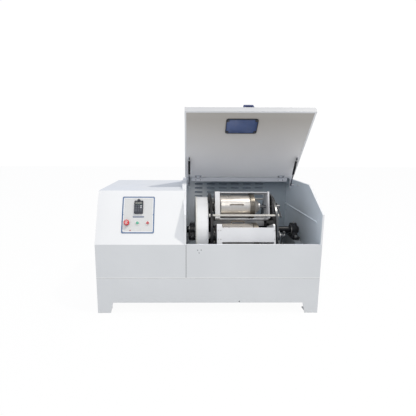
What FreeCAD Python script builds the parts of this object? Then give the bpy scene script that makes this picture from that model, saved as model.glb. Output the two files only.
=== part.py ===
"""Horizontal planetary ball mill in a floor-standing cabinet.

Units are millimetres. X runs along the cabinet to the right, Y from the front to the rear and Z up.
The origin is the middle of the footprint, on the floor. Four jar cages turn between two carrier discs,
and each carries a jar held by a clamp screw. The lid is shown propped open on two struts.
"""
import FreeCAD, Part
import math
import os
from FreeCAD import Rotation, Vector

os.makedirs("parts", exist_ok=True)

# Cabinet
cover_width = 600.0
cabinet_depth = 855.0
foot_height = 75.0
foot_width_bottom = 88.0
foot_width_top = 105.0
foot_pad_size = 78.0
foot_pad_thickness = 6.0
seam_height = 250.0
front_height = 484.0
cheek_front_height = 686.0
cheek_top_height = 847.0
cheek_slope_depth = 289.0
cover_top_height = 820.0
cover_slope_depth = 165.0
sheet = 3.0
deck_thickness = 6.0
cheek_thickness = 12.0
cheek_hem_width = 18.0
front_lip_depth = 14.0
front_lip_drop = 10.0
cheek_rib_height = 617.0
cheek_rib_size = 14.0
cheek_rib_front = 91.0
shaft_window_radius = 42.0
overrun = 5.0
upright_share = 0.9

# Ventilation slots
slot_length = 62.0
slot_height = 8.0
slot_pitch_x = 107.0
slot_pitch_z = 36.0
slot_start_x = 74.0
cover_slot_drop = 32.0
back_slot_drop = 59.0
back_slot_columns = 6
back_slot_rows = 4
cover_slot_columns = 4
cover_slot_rows = 6

# Rear top panel
panel_depth = 143.0
panel_rise = 13.0
panel_flange_drop = 35.0
panel_flange_inset = 39.0
end_bracket_width = 16.0
end_bracket_drop = 89.0
end_bracket_thickness = 4.0

# Lid, described closed and then turned open about its hinge
lid_angle = 47.7
lid_front_inset = 32.0
lid_thickness = 46.0
lid_side_overhang = 13.0
lid_skin = 1.5
lid_liner_thickness = 1.0
lid_lip_width = 12.0
lid_hinge_gap = 3.0
hinge_drop = 6.0
hinge_forward = 6.0
knuckle_radius = 4.0
hinge_pin_radius = 2.5
hinge_width = 58.0
hinge_leaf_reach = 26.0
hinge_leaf_thickness = 2.0
hinge_inset = 67.0
running_gap = 0.05
moving_gap = 0.4
window_left = 281.0
window_width = 227.0
window_length = 128.0
window_from_edge = 63.0
window_corner = 16.0
window_border = 12.0
window_pane_thickness = 4.0
window_seal_thickness = 2.0
lid_handle_centre = 437.0
lid_handle_length = 92.0
lid_handle_reach = 46.0
lid_handle_edge = 22.0
lid_handle_slope = 12.0
lid_handle_foot = 16.0
lid_handle_width = 24.0
lid_handle_grip = 18.0

# Lid struts
strut_wall_from_rear = 195.0
strut_wall_drop = 44.0
strut_lid_reach = 236.0
strut_lid_drop = 12.0
strut_inset = 20.0
strut_eye_radius = 8.0
strut_eye_width = 8.0
strut_pin_radius = 4.0
strut_neck_length = 15.0
strut_tube_radius = 9.0
strut_tube_length = 138.0
strut_rod_radius = 4.0
stud_flange_radius = 11.0
stud_flange_thickness = 3.0

# Carrier and cages, measured along X from the chamber's left wall
axis_depth = 390.0
axis_height = 490.0
shaft_radius = 25.0
planet_count = 4
cage_swing_radius = 122.0
cage_swing_gap = 5.28
cage_height = 207.0
cage_plate_width = 100.0
cage_plate_thickness = 6.0
cage_block_width = 150.0
cage_block_thickness = 36.0
cage_end_thickness = 12.0
cage_length = 404.0
cage_angle = 18.0
cage_stub_radius = 25.0
cage_sleeve_radius = 22.0
cage_sleeve_length = 56.0
carrier_rim = 98.0
carrier_thickness = 14.0
carrier_hub_radius = 48.0
carrier_hub_length = 12.0
carrier_hole_radius = 36.0
shaft_middle_share = 1.12
left_shaft_overhang = 110.0
right_shaft_overhang = 40.0
bearing_flange_radius = 60.0
bearing_flange_thickness = 11.0
bearing_boss_radius = 40.0
bearing_length = 24.0
bearing_bolt_circle = 50.0
bearing_bolt_count = 4
bolt_head_radius = 8.0
bolt_head_height = 7.0
bolt_shank_share = 0.8
cage_side_gap = 4.0
right_cage_gap = 10.0
tie_rod_radius = 7.0
tie_rod_edge = 16.0
tie_rod_angle = 36.0
tie_nut_radius = 12.0
tie_nut_height = 10.0
tie_rod_end = 2.0

# Jar
jar_radius = 85.0
jar_wall = 5.0
jar_base_thickness = 8.0
jar_length = 225.0
jar_corner = 8.0
jar_flange_radius = 91.0
jar_flange_thickness = 14.0
jar_seal_thickness = 5.0
jar_seal_radius = 89.0
jar_lid_thickness = 14.0
jar_dome_radius = 72.0
jar_dome_top_radius = 40.0
jar_dome_height = 36.0
jar_handle_length = 92.0
jar_handle_reach = 18.0
jar_handle_wire = 3.5
jar_handle_bend = 6.0
jar_handle_centre = 124.0

# Clamp screw
pad_radius = 30.0
pad_thickness = 14.0
pad_play = 0.5
screw_radius = 12.0
screw_reach = 12.0
screw_head_length = 24.0
screw_head_radius = 15.0
tommy_radius = 6.0
tommy_long_reach = 118.0
tommy_short_reach = 34.0
tommy_ball_radius = 8.0
tommy_angle = -29.0

# Gears and drum guard
sun_teeth = 48
planet_teeth = 24
gear_backlash = 0.8
gear_width = 40.0
gear_pressure_angle = 20.0
tooth_root_share = 1.25
drum_wall = 4.0
drum_clearance = 3.0
drum_length = 79.0
drum_rim_lip = 10.0
drum_to_gear = 20.0
drum_to_carrier = 15.0
sun_sleeve_radius = 62.0
sun_bore_radius = 32.0
drum_bracket_thickness = 6.0
drum_bracket_width = 220.0
drum_bracket_top = 80.0

# Shaft bearings and stands
bearing_centre_left = 43.0
handle_to_bearing = 118.0
bearing_to_wall = 66.0
block_base_length = 206.0
block_base_thickness = 20.0
block_width = 50.0
block_body_width = 40.0
block_body_radius = 52.0
block_centre_height = 57.0
block_bolt_spacing = 159.0
insert_radius = 40.0
block_shoulder_share = 1.25
block_web_share = 0.9
stand_bolt_share = 1.4
insert_width = 46.0
stand_length = 320.0
stand_width = 54.0
stand_beam_height = 70.0
stand_leg_size = 50.0
stand_foot_thickness = 8.0
stand_foot_margin = 14.0

# Drive
driven_pulley_radius = 112.0
motor_pulley_radius = 45.0
pulley_width = 40.0
pulley_hub_radius = 40.0
pulley_web = 12.0
pulley_rim = 16.0
groove_depth = 10.0
groove_half_width = 6.5
groove_base_half_width = 4.5
groove_spacing = 16.0
belt_depth = 8.0
pulley_start = 100.0
motor_radius = 98.0
motor_length = 250.0
motor_axis_height = 222.0
motor_shaft_radius = 14.0
motor_shield_length = 30.0
motor_gap = 24.0
motor_fan_length = 50.0
motor_fin_count = 20
motor_fin_height = 9.0
motor_fin_thickness = 5.0
motor_base_length = 300.0
motor_base_width = 260.0
motor_foot_height = 18.0
motor_foot_share = 0.2
motor_foot_start_shares = [0.1, 0.7]
motor_box_shares = [0.4, 0.75]
motor_box_height_share = 1.4
inverter_width = 150.0
inverter_height = 220.0
inverter_depth = 110.0
inverter_bottom = 460.0
inverter_from_split = 380.0

# Operator panel, measured on the sloping face from its lower right corner
plate_from_split = 213.0
plate_width = 219.0
plate_start = 75.0
plate_height = 256.0
plate_thickness = 2.0
plate_border = 6.0
plate_notch = 5.0
keypad_from_split = 291.0
keypad_width = 59.0
keypad_start = 209.0
keypad_height = 91.0
keypad_thickness = 9.0
keypad_corner = 5.0
keypad_tab_radius = 11.0
knob_radius = 7.0
knob_height = 10.0
button_row = 146.0
stop_from_split = 396.0
green_from_split = 325.0
red_from_split = 257.0
stop_head_radius = 19.0
stop_head_height = 14.0
stop_neck_radius = 10.0
stop_travel = 5.0
stop_ring_radius = 17.0
push_head_radius = 10.0
push_rise = 1.0
push_travel = 3.0
push_ring_radius = 14.0
ring_height = 4.0


def box(x0, x1, y0, y1, z0, z1):
    return Part.makeBox(x1 - x0, y1 - y0, z1 - z0, Vector(x0, y0, z0))


def rod_x(x0, x1, radius, y=0, z=0):
    """Round bar along X."""
    return Part.makeCylinder(radius, x1 - x0, Vector(x0, y, z), Vector(1, 0, 0))


def ring_x(x0, x1, outer, inner, y=0, z=0):
    return rod_x(x0, x1, outer, y, z).cut(rod_x(x0 - overrun, x1 + overrun, inner, y, z))


def hex_x(x0, x1, radius, y, z):
    """Hexagon bar along X for bolt heads and nuts."""
    angles = [math.radians(60 * k) for k in range(6)]
    corners = [Vector(x0, y + radius * math.cos(angle), z + radius * math.sin(angle)) for angle in angles]
    return Part.Face(Part.makePolygon(corners + corners[:1])).extrude(Vector(x1 - x0, 0, 0))


def prism_x(profile, x0, x1):
    """Prism along X from a list of (y, z) corners."""
    corners = [Vector(x0, y, z) for y, z in profile]
    return Part.Face(Part.makePolygon(corners + corners[:1])).extrude(Vector(x1 - x0, 0, 0))


def prism_y(profile, y0, y1):
    """Prism along Y from a list of (x, z) corners."""
    corners = [Vector(x, y0, z) for x, z in profile]
    return Part.Face(Part.makePolygon(corners + corners[:1])).extrude(Vector(0, y1 - y0, 0))


def revolve_x(profile):
    """Solid of revolution about X from a list of (x, radius) corners."""
    corners = [Vector(x, 0, r) for x, r in profile]
    face = Part.Face(Part.makePolygon(corners + corners[:1]))
    return face.revolve(Vector(0, 0, 0), Vector(1, 0, 0), 360)


def uprights(shape):
    """The edges that run along Z."""
    return [edge for edge in shape.Edges if abs(edge.tangentAt(edge.FirstParameter).z) > upright_share]


def circles(shape):
    return [edge for edge in shape.Edges if edge.Curve.TypeId == "Part::GeomCircle"]


def fuse(shapes):
    return shapes[0].multiFuse(shapes[1:]).removeSplitter()


def cut(shape, tools):
    return shape.cut(Part.Compound(tools))


def turned(shape, centre, degrees, axis=Vector(1, 0, 0)):
    """A copy turned about an axis through centre."""
    copy = shape.copy()
    copy.rotate(centre, axis, degrees)
    return copy


def moved(shape, x=0, y=0, z=0):
    copy = shape.copy()
    copy.translate(Vector(x, y, z))
    return copy


def inset_profile(profile, distance):
    """Moves each side of a convex outline inwards. Corners are given in one turning direction."""
    count = len(profile)
    area = sum(profile[k][0] * profile[(k + 1) % count][1] - profile[(k + 1) % count][0] * profile[k][1]
               for k in range(count))
    side = math.copysign(1, area)
    result = []
    for k in range(count):
        before, here, after = profile[k - 1], profile[k], profile[(k + 1) % count]
        first = Vector(here[0] - before[0], here[1] - before[1], 0).normalize()
        second = Vector(after[0] - here[0], after[1] - here[1], 0).normalize()
        normal_1 = Vector(-first.y, first.x, 0) * side
        normal_2 = Vector(-second.y, second.x, 0) * side
        reach = distance / (1 + normal_1.dot(normal_2))
        shift = (normal_1 + normal_2) * reach
        result.append((here[0] + shift.x, here[1] + shift.y))
    return result


def bent_rod(points, bend, radius):
    """Round wire through points, with each inner corner cut by a short straight run."""
    track = [points[0]]
    for k in range(1, len(points) - 1):
        track.append(points[k] + (points[k - 1] - points[k]).normalize() * bend)
        track.append(points[k] + (points[k + 1] - points[k]).normalize() * bend)
    track.append(points[-1])
    section = Part.Wire(Part.makeCircle(radius, track[0], track[1] - track[0]))
    square_corners = 1
    return Part.makePolygon(track).makePipeShell([section], True, False, square_corners)


def ball(radius, centre, way):
    """Ball turned in flat bands about the direction way."""
    bands = 4
    profile = [(-radius * math.cos(math.pi * k / bands), radius * math.sin(math.pi * k / bands))
               for k in range(bands + 1)]
    shape = revolve_x(profile)
    turn = Rotation(Vector(1, 0, 0), way)
    shape.rotate(Vector(0, 0, 0), turn.Axis, math.degrees(turn.Angle))
    shape.translate(centre)
    return shape


def save(name, shape):
    shape.exportStep("parts/" + name + ".step")


# Places along X, from the chamber's left wall to its right wall
drum_left = bearing_centre_left + stand_width / 2 + drum_bracket_thickness
drum_right = drum_left + drum_length
gear_left = drum_left + drum_to_gear
gear_right = gear_left + gear_width
left_disc = drum_right + drum_to_carrier
left_housing_end = left_disc + carrier_thickness + bearing_length
cage_left = left_housing_end + cage_side_gap
cage_right = cage_left + cage_length
right_disc = cage_right + right_cage_gap
right_disc_face = right_disc + carrier_thickness
sleeve_end = cage_right + cage_sleeve_length
handle_x = sleeve_end + screw_reach + screw_head_length / 2 + tommy_ball_radius
bearing_centre_right = handle_x + handle_to_bearing
chamber_inside = bearing_centre_right + bearing_to_wall
chamber_width = chamber_inside + cheek_thickness
total_width = cover_width + chamber_width
split = cover_width - total_width / 2
front = -cabinet_depth / 2
rear = cabinet_depth / 2
left = -total_width / 2
right = total_width / 2
wall_right = split + chamber_inside

panel_top_height = cheek_top_height + panel_rise
axis_y = front + axis_depth
axis = Vector(0, axis_y, axis_height)
orbit = (cage_swing_radius + cage_swing_gap) * math.sqrt(2)
gear_module = 2 * orbit / (sun_teeth + planet_teeth)
planet_pitch_radius = gear_module * planet_teeth / 2
carrier_radius = orbit + carrier_rim
drum_inner = orbit + planet_pitch_radius + gear_module + drum_clearance
drum_outer = drum_inner + drum_wall
deck_top = foot_height + sheet + deck_thickness
planet_angle = 360 / planet_count
top_planet = Vector(0, axis_y, axis_height + orbit)


def around(shape, number):
    """Turns a piece of the top planet to its place on the carrier. Number 0 is the top one."""
    return turned(shape, axis, planet_angle * number)


def make_base():
    """Sheet plinth with four tapered feet, floor pads and the bed plate that carries the machine."""
    shell = box(left, right, front, rear, 0, seam_height)
    shell = shell.cut(box(left + sheet, right - sheet, front + sheet, rear - sheet,
                          -overrun, seam_height + overrun))
    window_x = [(left + foot_width_bottom, -overrun), (left + foot_width_bottom, 0),
                (left + foot_width_top, foot_height), (right - foot_width_top, foot_height),
                (right - foot_width_bottom, 0), (right - foot_width_bottom, -overrun)]
    window_y = [(front + foot_width_bottom, -overrun), (front + foot_width_bottom, 0),
                (front + foot_width_top, foot_height), (rear - foot_width_top, foot_height),
                (rear - foot_width_bottom, 0), (rear - foot_width_bottom, -overrun)]
    shell = cut(shell, [prism_y(window_x, front - overrun, rear + overrun),
                        prism_x(window_y, left - overrun, right + overrun)])
    deck = box(left + sheet, right - sheet, front + sheet, rear - sheet, deck_top - deck_thickness, deck_top)
    pads = []
    for x0 in (left + sheet, right - sheet - foot_pad_size):
        for y0 in (front + sheet, rear - sheet - foot_pad_size):
            pads.append(box(x0, x0 + foot_pad_size, y0, y0 + foot_pad_size, 0, foot_pad_thickness))
    return fuse([shell, deck] + pads)


def cheek_profile(front_inset):
    return [(front + front_inset, seam_height), (front + front_inset, front_height), (front, front_height),
            (front, cheek_front_height), (front + cheek_slope_depth, cheek_top_height),
            (rear - sheet, cheek_top_height), (rear - sheet, seam_height)]


def cover_profile():
    return [(front, seam_height), (front, front_height), (front + cover_slope_depth, cover_top_height),
            (rear, cover_top_height), (rear, seam_height)]


def make_left_wall():
    """Wall between the drive compartment and the chamber, with the shaft window and an outer hem."""
    wall = prism_x(cheek_profile(sheet), split - cheek_thickness, split)
    hem_flat = box(split - cheek_thickness - cheek_hem_width, split - cheek_thickness,
                   front + cheek_slope_depth, rear - sheet, cheek_top_height - sheet, cheek_top_height)
    slope = Vector(0, cheek_slope_depth, cheek_top_height - cheek_front_height)
    down = Vector(0, slope.z, -slope.y).normalize() * sheet
    top_in = Vector(split - cheek_thickness, front + cheek_slope_depth, cheek_top_height)
    top_out = top_in - Vector(cheek_hem_width, 0, 0)
    low = Vector(split - cheek_thickness, front, cheek_front_height)
    hem_slope = Part.Face(Part.makePolygon([top_in, top_out, low, top_in])).extrude(down)
    hem = fuse([hem_flat, hem_slope]).cut(prism_x(cover_profile(), left, split - cheek_thickness))
    wall = fuse([wall, hem])
    return wall.cut(rod_x(split - cheek_thickness - overrun, split + overrun, shaft_window_radius,
                          axis_y, axis_height))


def make_right_wall():
    wall = prism_x(cheek_profile(sheet), wall_right, wall_right + cheek_thickness)
    rib_half = cheek_rib_size / 2
    rib_profile = [(wall_right, cheek_rib_height - rib_half), (wall_right, cheek_rib_height + rib_half),
                   (wall_right - rib_half, cheek_rib_height)]
    rib = prism_y(rib_profile, front + cheek_rib_front, rear - sheet)
    return fuse([wall, rib])


def make_left_cover():
    """Folded hood over the drive compartment, with both ends. It is open below and behind."""
    outer = cover_profile()
    inner = inset_profile(outer, sheet)
    inner[0] = (inner[0][0], seam_height - overrun)
    inner[3] = (rear + overrun, inner[3][1])
    inner[4] = (rear + overrun, seam_height - overrun)
    edge = split - cheek_thickness
    hood = prism_x(outer, left, edge).cut(prism_x(inner, left + sheet, edge - sheet))
    hood = hood.cut(rod_x(edge - sheet - overrun, edge + overrun, shaft_window_radius, axis_y, axis_height))
    front_strip = box(edge, split, front, front + sheet, seam_height, front_height)
    return fuse([hood, front_strip])


def slots(x0, columns, rows, top, y0, y1):
    """Ventilation slots through a rear panel, from the top row down."""
    tools = []
    for column in range(columns):
        for row in range(rows):
            x = x0 + column * slot_pitch_x
            z = top - row * slot_pitch_z
            tools.append(box(x, x + slot_length, y0, y1, z - slot_height / 2, z + slot_height / 2))
    return tools


def make_cover_rear():
    panel = box(left + sheet, split - cheek_thickness - sheet, rear - sheet, rear,
                seam_height, cover_top_height - sheet)
    start = (left + split - cheek_thickness - slot_pitch_x * (cover_slot_columns - 1) - slot_length) / 2
    return cut(panel, slots(start, cover_slot_columns, cover_slot_rows, cover_top_height - cover_slot_drop,
                            rear - sheet - overrun, rear + overrun))


def make_back_wall():
    panel = box(split - cheek_thickness, right, rear - sheet, rear, seam_height, cheek_top_height)
    upper = box(split, wall_right, rear - sheet, rear, cheek_top_height, panel_top_height - sheet)
    panel = fuse([panel, upper])
    return cut(panel, slots(split + slot_start_x, back_slot_columns, back_slot_rows,
                            cheek_top_height - back_slot_drop, rear - sheet - overrun, rear + overrun))


def make_front_panel():
    """Low front of the chamber with a folded top lip."""
    panel = box(split, right, front, front + sheet, seam_height, front_height)
    lip = box(split, wall_right, front, front + front_lip_depth, front_height - sheet, front_height)
    turn_down = box(split, wall_right, front + front_lip_depth - sheet, front + front_lip_depth,
                    front_height - front_lip_drop, front_height)
    return fuse([panel, lip, turn_down])


def make_rear_top_panel():
    panel_front = rear - panel_depth
    top = box(split, wall_right, panel_front, rear, panel_top_height - sheet, panel_top_height)
    flange = box(split + panel_flange_inset, wall_right - panel_flange_inset, panel_front, panel_front + sheet,
                 panel_top_height - panel_flange_drop, panel_top_height)
    low = panel_top_height - end_bracket_drop
    brackets = [box(x, x + end_bracket_width, panel_front, panel_front + end_bracket_thickness,
                    low, panel_top_height)
                for x in (split, wall_right - end_bracket_width)]
    return fuse([top, flange] + brackets)


# Lid places, closed
hinge_y = rear - panel_depth - hinge_forward
hinge_z = panel_top_height - hinge_drop
hinge_line = Vector(0, hinge_y, hinge_z)
lid_rear = hinge_y - lid_hinge_gap
lid_front = front + lid_front_inset
lid_bottom = panel_top_height
lid_top = lid_bottom + lid_thickness
lid_left = split - lid_side_overhang
lid_right = right
window_x0 = split + window_left
window_x1 = window_x0 + window_width
window_y0 = lid_front + window_from_edge
window_y1 = window_y0 + window_length


def opened(shape):
    """Turns a closed lid piece to the open pose in which the machine is modelled."""
    return turned(shape, hinge_line, -lid_angle)


def round_slab(x0, x1, y0, y1, z0, z1, corner):
    slab = box(x0, x1, y0, y1, z0, z1)
    return slab.makeFillet(corner, uprights(slab))


def window_hole(z0, z1):
    """The see-through opening of the window, cut through whatever lies between two heights."""
    return round_slab(window_x0 + window_border, window_x1 - window_border, window_y0 + window_border,
                      window_y1 - window_border, z0 - overrun, z1 + overrun, window_corner - lid_skin)


def make_lid_pan():
    outer = box(lid_left, lid_right, lid_front, lid_rear, lid_bottom, lid_top)
    inner = box(lid_left + lid_skin, lid_right - lid_skin, lid_front + lid_skin, lid_rear - lid_skin,
                lid_bottom + lid_skin, lid_top - lid_skin)
    mouth = box(lid_left + lid_lip_width, lid_right - lid_lip_width, lid_front + lid_lip_width,
                lid_rear - lid_lip_width, lid_bottom - overrun, lid_bottom + lid_skin + overrun)
    pan = cut(outer, [inner, mouth])
    tunnel = round_slab(window_x0 + window_border - lid_skin, window_x1 - window_border + lid_skin,
                        window_y0 + window_border - lid_skin, window_y1 - window_border + lid_skin,
                        lid_bottom + lid_skin + lid_liner_thickness, lid_top - lid_skin, window_corner)
    return opened(fuse([pan, tunnel]).cut(window_hole(lid_bottom, lid_top)))


def make_lid_liner():
    low = lid_bottom + lid_skin
    liner = box(lid_left + lid_skin, lid_right - lid_skin, lid_front + lid_skin, lid_rear - lid_skin,
                low, low + lid_liner_thickness)
    return opened(liner.cut(window_hole(low, low + lid_liner_thickness)))


def make_window_seal():
    top = lid_bottom + lid_skin
    seal = round_slab(window_x0, window_x1, window_y0, window_y1, top - window_seal_thickness, top,
                      window_corner)
    return opened(seal.cut(window_hole(top - window_seal_thickness, top)))


def make_window_pane():
    top = lid_bottom + lid_skin - window_seal_thickness
    return opened(round_slab(window_x0, window_x1, window_y0, window_y1, top - window_pane_thickness, top,
                             window_corner))


def make_lid_handle():
    """Bow handle on the outer skin: sloping ends, a straight grip and a finger opening."""
    y = lid_front + lid_handle_edge
    centre = split + lid_handle_centre
    half = lid_handle_length / 2
    top = lid_top + lid_handle_reach
    outer = [(centre - half, lid_top), (centre - half + lid_handle_slope, top),
             (centre + half - lid_handle_slope, top), (centre + half, lid_top)]
    inner = [(centre - half + lid_handle_foot, lid_top - overrun), (centre - half + lid_handle_foot, lid_top),
             (centre - half + lid_handle_foot + lid_handle_slope / 2, top - lid_handle_grip),
             (centre + half - lid_handle_foot - lid_handle_slope / 2, top - lid_handle_grip),
             (centre + half - lid_handle_foot, lid_top), (centre + half - lid_handle_foot, lid_top - overrun)]
    half_width = lid_handle_width / 2
    bow = prism_y(outer, y - half_width, y + half_width)
    long_edges = [edge for edge in bow.Edges if abs(edge.tangentAt(edge.FirstParameter).y) < 1 - upright_share
                  and edge.CenterOfMass.z > lid_top]
    bow = bow.makeChamfer(lid_handle_width / 5, long_edges)
    return opened(bow.cut(prism_y(inner, y - lid_handle_width, y + lid_handle_width)))


def hinge_places():
    return [split + hinge_inset, wall_right - hinge_inset - hinge_width]


def make_fixed_hinges():
    """Leaf on the rear panel's flange, two outer knuckles and the pin."""
    solids = []
    third = hinge_width / 3
    face = rear - panel_depth
    for x in hinge_places():
        leaf = box(x, x + hinge_width, face - hinge_leaf_thickness, face,
                   hinge_z - hinge_leaf_reach, hinge_z - knuckle_radius - moving_gap)
        knuckles = []
        for x0 in (x, x + 2 * third):
            knuckles.append(rod_x(x0, x0 + third - moving_gap, knuckle_radius, hinge_y, hinge_z))
            knuckles.append(box(x0, x0 + third - moving_gap, hinge_y, face,
                                hinge_z - knuckle_radius - moving_gap, hinge_z))
        pin = rod_x(x, x + hinge_width - moving_gap, hinge_pin_radius, hinge_y, hinge_z)
        solids.append(fuse([leaf, pin] + knuckles))
    return Part.Compound(solids)


def make_lid_hinges():
    """Leaf under the lid and the middle knuckle, turned open with the lid."""
    solids = []
    third = hinge_width / 3
    for x in hinge_places():
        leaf = box(x, x + hinge_width, lid_rear - hinge_leaf_reach, lid_rear,
                   lid_bottom - hinge_leaf_thickness, lid_bottom)
        x0 = x + third
        x1 = x + 2 * third - moving_gap
        knuckle = rod_x(x0, x1, knuckle_radius, hinge_y, hinge_z)
        arm = box(x0, x1, lid_rear - hinge_leaf_reach / 2, hinge_y, hinge_z, lid_bottom)
        leaf = fuse([leaf, knuckle, arm])
        bore = rod_x(x0 - overrun, x1 + overrun, hinge_pin_radius + running_gap, hinge_y, hinge_z)
        solids.append(leaf.cut(bore))
    return opened(Part.Compound(solids))


# Strut places
strut_wall = Vector(0, rear - strut_wall_from_rear, cheek_top_height - strut_wall_drop)
strut_lid = hinge_line + Rotation(Vector(1, 0, 0), -lid_angle).multVec(
    Vector(0, -strut_lid_reach, lid_bottom - strut_lid_drop - hinge_z))
strut_centres = [split + strut_inset, wall_right - strut_inset]
strut_side = [-1, 1]


def along_strut(shape, x):
    """Places a piece built along +Z from the lid stud so that it points at the wall stud."""
    way = strut_wall - strut_lid
    angle = math.degrees(math.atan2(way.z, way.y)) - 90
    copy = shape.copy()
    copy.rotate(Vector(0, 0, 0), Vector(1, 0, 0), angle)
    copy.translate(Vector(x, strut_lid.y, strut_lid.z))
    return copy


def make_strut_tube(number):
    eye = rod_x(-strut_eye_width / 2, strut_eye_width / 2, strut_eye_radius)
    neck = Part.makeCylinder(strut_rod_radius, strut_neck_length, Vector(0, 0, 0))
    tube = Part.makeCylinder(strut_tube_radius, strut_tube_length, Vector(0, 0, strut_neck_length))
    bore = Part.makeCylinder(strut_rod_radius + running_gap, strut_tube_length,
                             Vector(0, 0, strut_neck_length + strut_tube_radius))
    pin_hole = rod_x(-strut_eye_width, strut_eye_width, strut_pin_radius + running_gap)
    tube = cut(fuse([eye, neck, tube]), [bore, pin_hole])
    return along_strut(tube, strut_centres[number])


def make_strut_rod(number):
    length = (strut_wall - strut_lid).Length
    start = length / 2
    rod = Part.makeCylinder(strut_rod_radius, length - start - strut_eye_radius / 2, Vector(0, 0, start))
    eye = rod_x(-strut_eye_width / 2, strut_eye_width / 2, strut_eye_radius, 0, length)
    hole = rod_x(-strut_eye_width, strut_eye_width, strut_pin_radius + moving_gap, 0, length)
    return along_strut(fuse([rod, eye]).cut(hole), strut_centres[number])


def make_wall_studs():
    """Ball studs on the cheeks. They stop short of the rod eyes."""
    solids = []
    for centre, side in zip(strut_centres, strut_side):
        wall = centre + side * strut_inset
        flange = sorted((wall, wall - side * stud_flange_thickness))
        reach = sorted((wall, centre + side * (strut_eye_width / 2 + moving_gap)))
        solids.append(fuse([rod_x(flange[0], flange[1], stud_flange_radius, strut_wall.y, strut_wall.z),
                            rod_x(reach[0], reach[1], strut_pin_radius + stud_flange_thickness / 2,
                                  strut_wall.y, strut_wall.z)]))
    return Part.Compound(solids)


def make_lid_studs():
    """Pins for the strut tubes, each on a small angle under the lid."""
    solids = []
    stud_y = hinge_y - strut_lid_reach
    stud_z = lid_bottom - strut_lid_drop
    for centre, side in zip(strut_centres, strut_side):
        ear = sorted((centre + side * (strut_eye_width / 2 + moving_gap),
                      centre + side * (strut_eye_width / 2 + moving_gap + stud_flange_thickness)))
        pin = sorted((ear[0] if side > 0 else ear[1], centre - side * strut_eye_width / 2))
        plate = box(ear[0], ear[1], stud_y - strut_eye_radius, stud_y + strut_eye_radius,
                    stud_z - strut_eye_radius, lid_bottom)
        solids.append(fuse([plate, rod_x(pin[0], pin[1], strut_pin_radius, stud_y, stud_z)]))
    return opened(Part.Compound(solids))


def gear(teeth, x0, x1, centre, first_tooth, bore):
    """Spur gear along X with three-point flanks that follow the involute."""
    pitch = gear_module * teeth / 2
    tip = pitch + gear_module
    root = pitch - gear_module * tooth_root_share
    pressure = math.radians(gear_pressure_angle)
    base = pitch * math.cos(pressure)

    def half_angle(radius):
        local = math.acos(min(1, base / radius))
        spread = (math.tan(pressure) - pressure) - (math.tan(local) - local)
        return math.pi / (2 * teeth) + spread - gear_backlash / (4 * pitch)

    corners = []
    for k in range(teeth):
        middle = math.radians(first_tooth + 360 * k / teeth)
        flank = [(root, half_angle(max(root, base))), (pitch, half_angle(pitch)), (tip, half_angle(tip))]
        for radius, half in flank:
            corners.append((radius, middle - half))
        for radius, half in reversed(flank):
            corners.append((radius, middle + half))
    profile = [(centre.y + r * math.cos(a), centre.z + r * math.sin(a)) for r, a in corners]
    return prism_x(profile, x0, x1).cut(rod_x(x0 - overrun, x1 + overrun, bore, centre.y, centre.z))


def make_planet_gear():
    half_pitch = 180 / planet_teeth
    teeth = gear(planet_teeth, gear_left, gear_right, top_planet, -90 + half_pitch, cage_stub_radius)
    return moved(teeth, split)


def make_sun_gear():
    teeth = gear(sun_teeth, gear_left, gear_right, axis, 0, sun_bore_radius)
    sleeve = ring_x(drum_left + drum_wall, gear_left, sun_sleeve_radius, sun_bore_radius, axis_y, axis_height)
    return moved(fuse([teeth, sleeve]), split)


def make_drum():
    """Fixed guard round the gears, closed on the left and open towards the carrier."""
    profile = [(drum_left, sun_bore_radius), (drum_left, drum_outer), (drum_right, drum_outer),
               (drum_right, drum_outer - drum_rim_lip), (drum_right - drum_wall, drum_outer - drum_rim_lip),
               (drum_right - drum_wall, drum_inner), (drum_left + drum_wall, drum_inner),
               (drum_left + drum_wall, sun_bore_radius)]
    return moved(revolve_x(profile), split, axis_y, axis_height)


def make_drum_bracket():
    x0 = split + drum_left - drum_bracket_thickness
    half = drum_bracket_width / 2
    top = axis_height + drum_bracket_top
    corner = drum_bracket_top / 2
    profile = [(axis_y - half, deck_top), (axis_y - half, axis_height), (axis_y - corner, top),
               (axis_y + corner, top), (axis_y + half, axis_height), (axis_y + half, deck_top)]
    plate = prism_x(profile, x0, x0 + drum_bracket_thickness)
    return plate.cut(rod_x(x0 - overrun, x0 + drum_bracket_thickness + overrun, sun_bore_radius,
                           axis_y, axis_height))


def make_carrier_disc(x0, hub_side, hole_radius):
    """Carrier disc with its hub, the planet holes and the tie rod holes."""
    disc = rod_x(x0, x0 + carrier_thickness, carrier_radius, axis_y, axis_height)
    middle = x0 + carrier_thickness / 2
    hub = sorted((middle, middle + hub_side * (carrier_thickness / 2 + carrier_hub_length)))
    hub = rod_x(hub[0], hub[1], carrier_hub_radius, axis_y, axis_height)
    holes = [rod_x(-overrun, right, shaft_radius, axis_y, axis_height)]
    for k in range(planet_count):
        holes.append(around(rod_x(x0 - overrun, x0 + carrier_thickness + overrun, hole_radius,
                                  top_planet.y, top_planet.z), k))
        rod_hole = rod_x(x0 - overrun, x0 + carrier_thickness + overrun, tie_rod_radius,
                         axis_y, axis_height + carrier_radius - tie_rod_edge)
        holes.append(turned(rod_hole, axis, 90 - tie_rod_angle + planet_angle * k))
    return moved(cut(fuse([disc, hub]), holes), split)


def make_shaft():
    """Main shaft from the driven pulley to the right bearing, thicker between the discs."""
    middle_left = left_disc + carrier_thickness + carrier_hub_length
    middle_right = right_disc - carrier_hub_length
    collar = shaft_radius * shaft_middle_share
    ends = rod_x(-left_shaft_overhang, bearing_centre_right + right_shaft_overhang, shaft_radius)
    ends = ends.makeChamfer(shaft_radius / 12, circles(ends))
    middle = rod_x(middle_left, middle_right, collar)
    return moved(fuse([ends, middle]), split, axis_y, axis_height)


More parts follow.
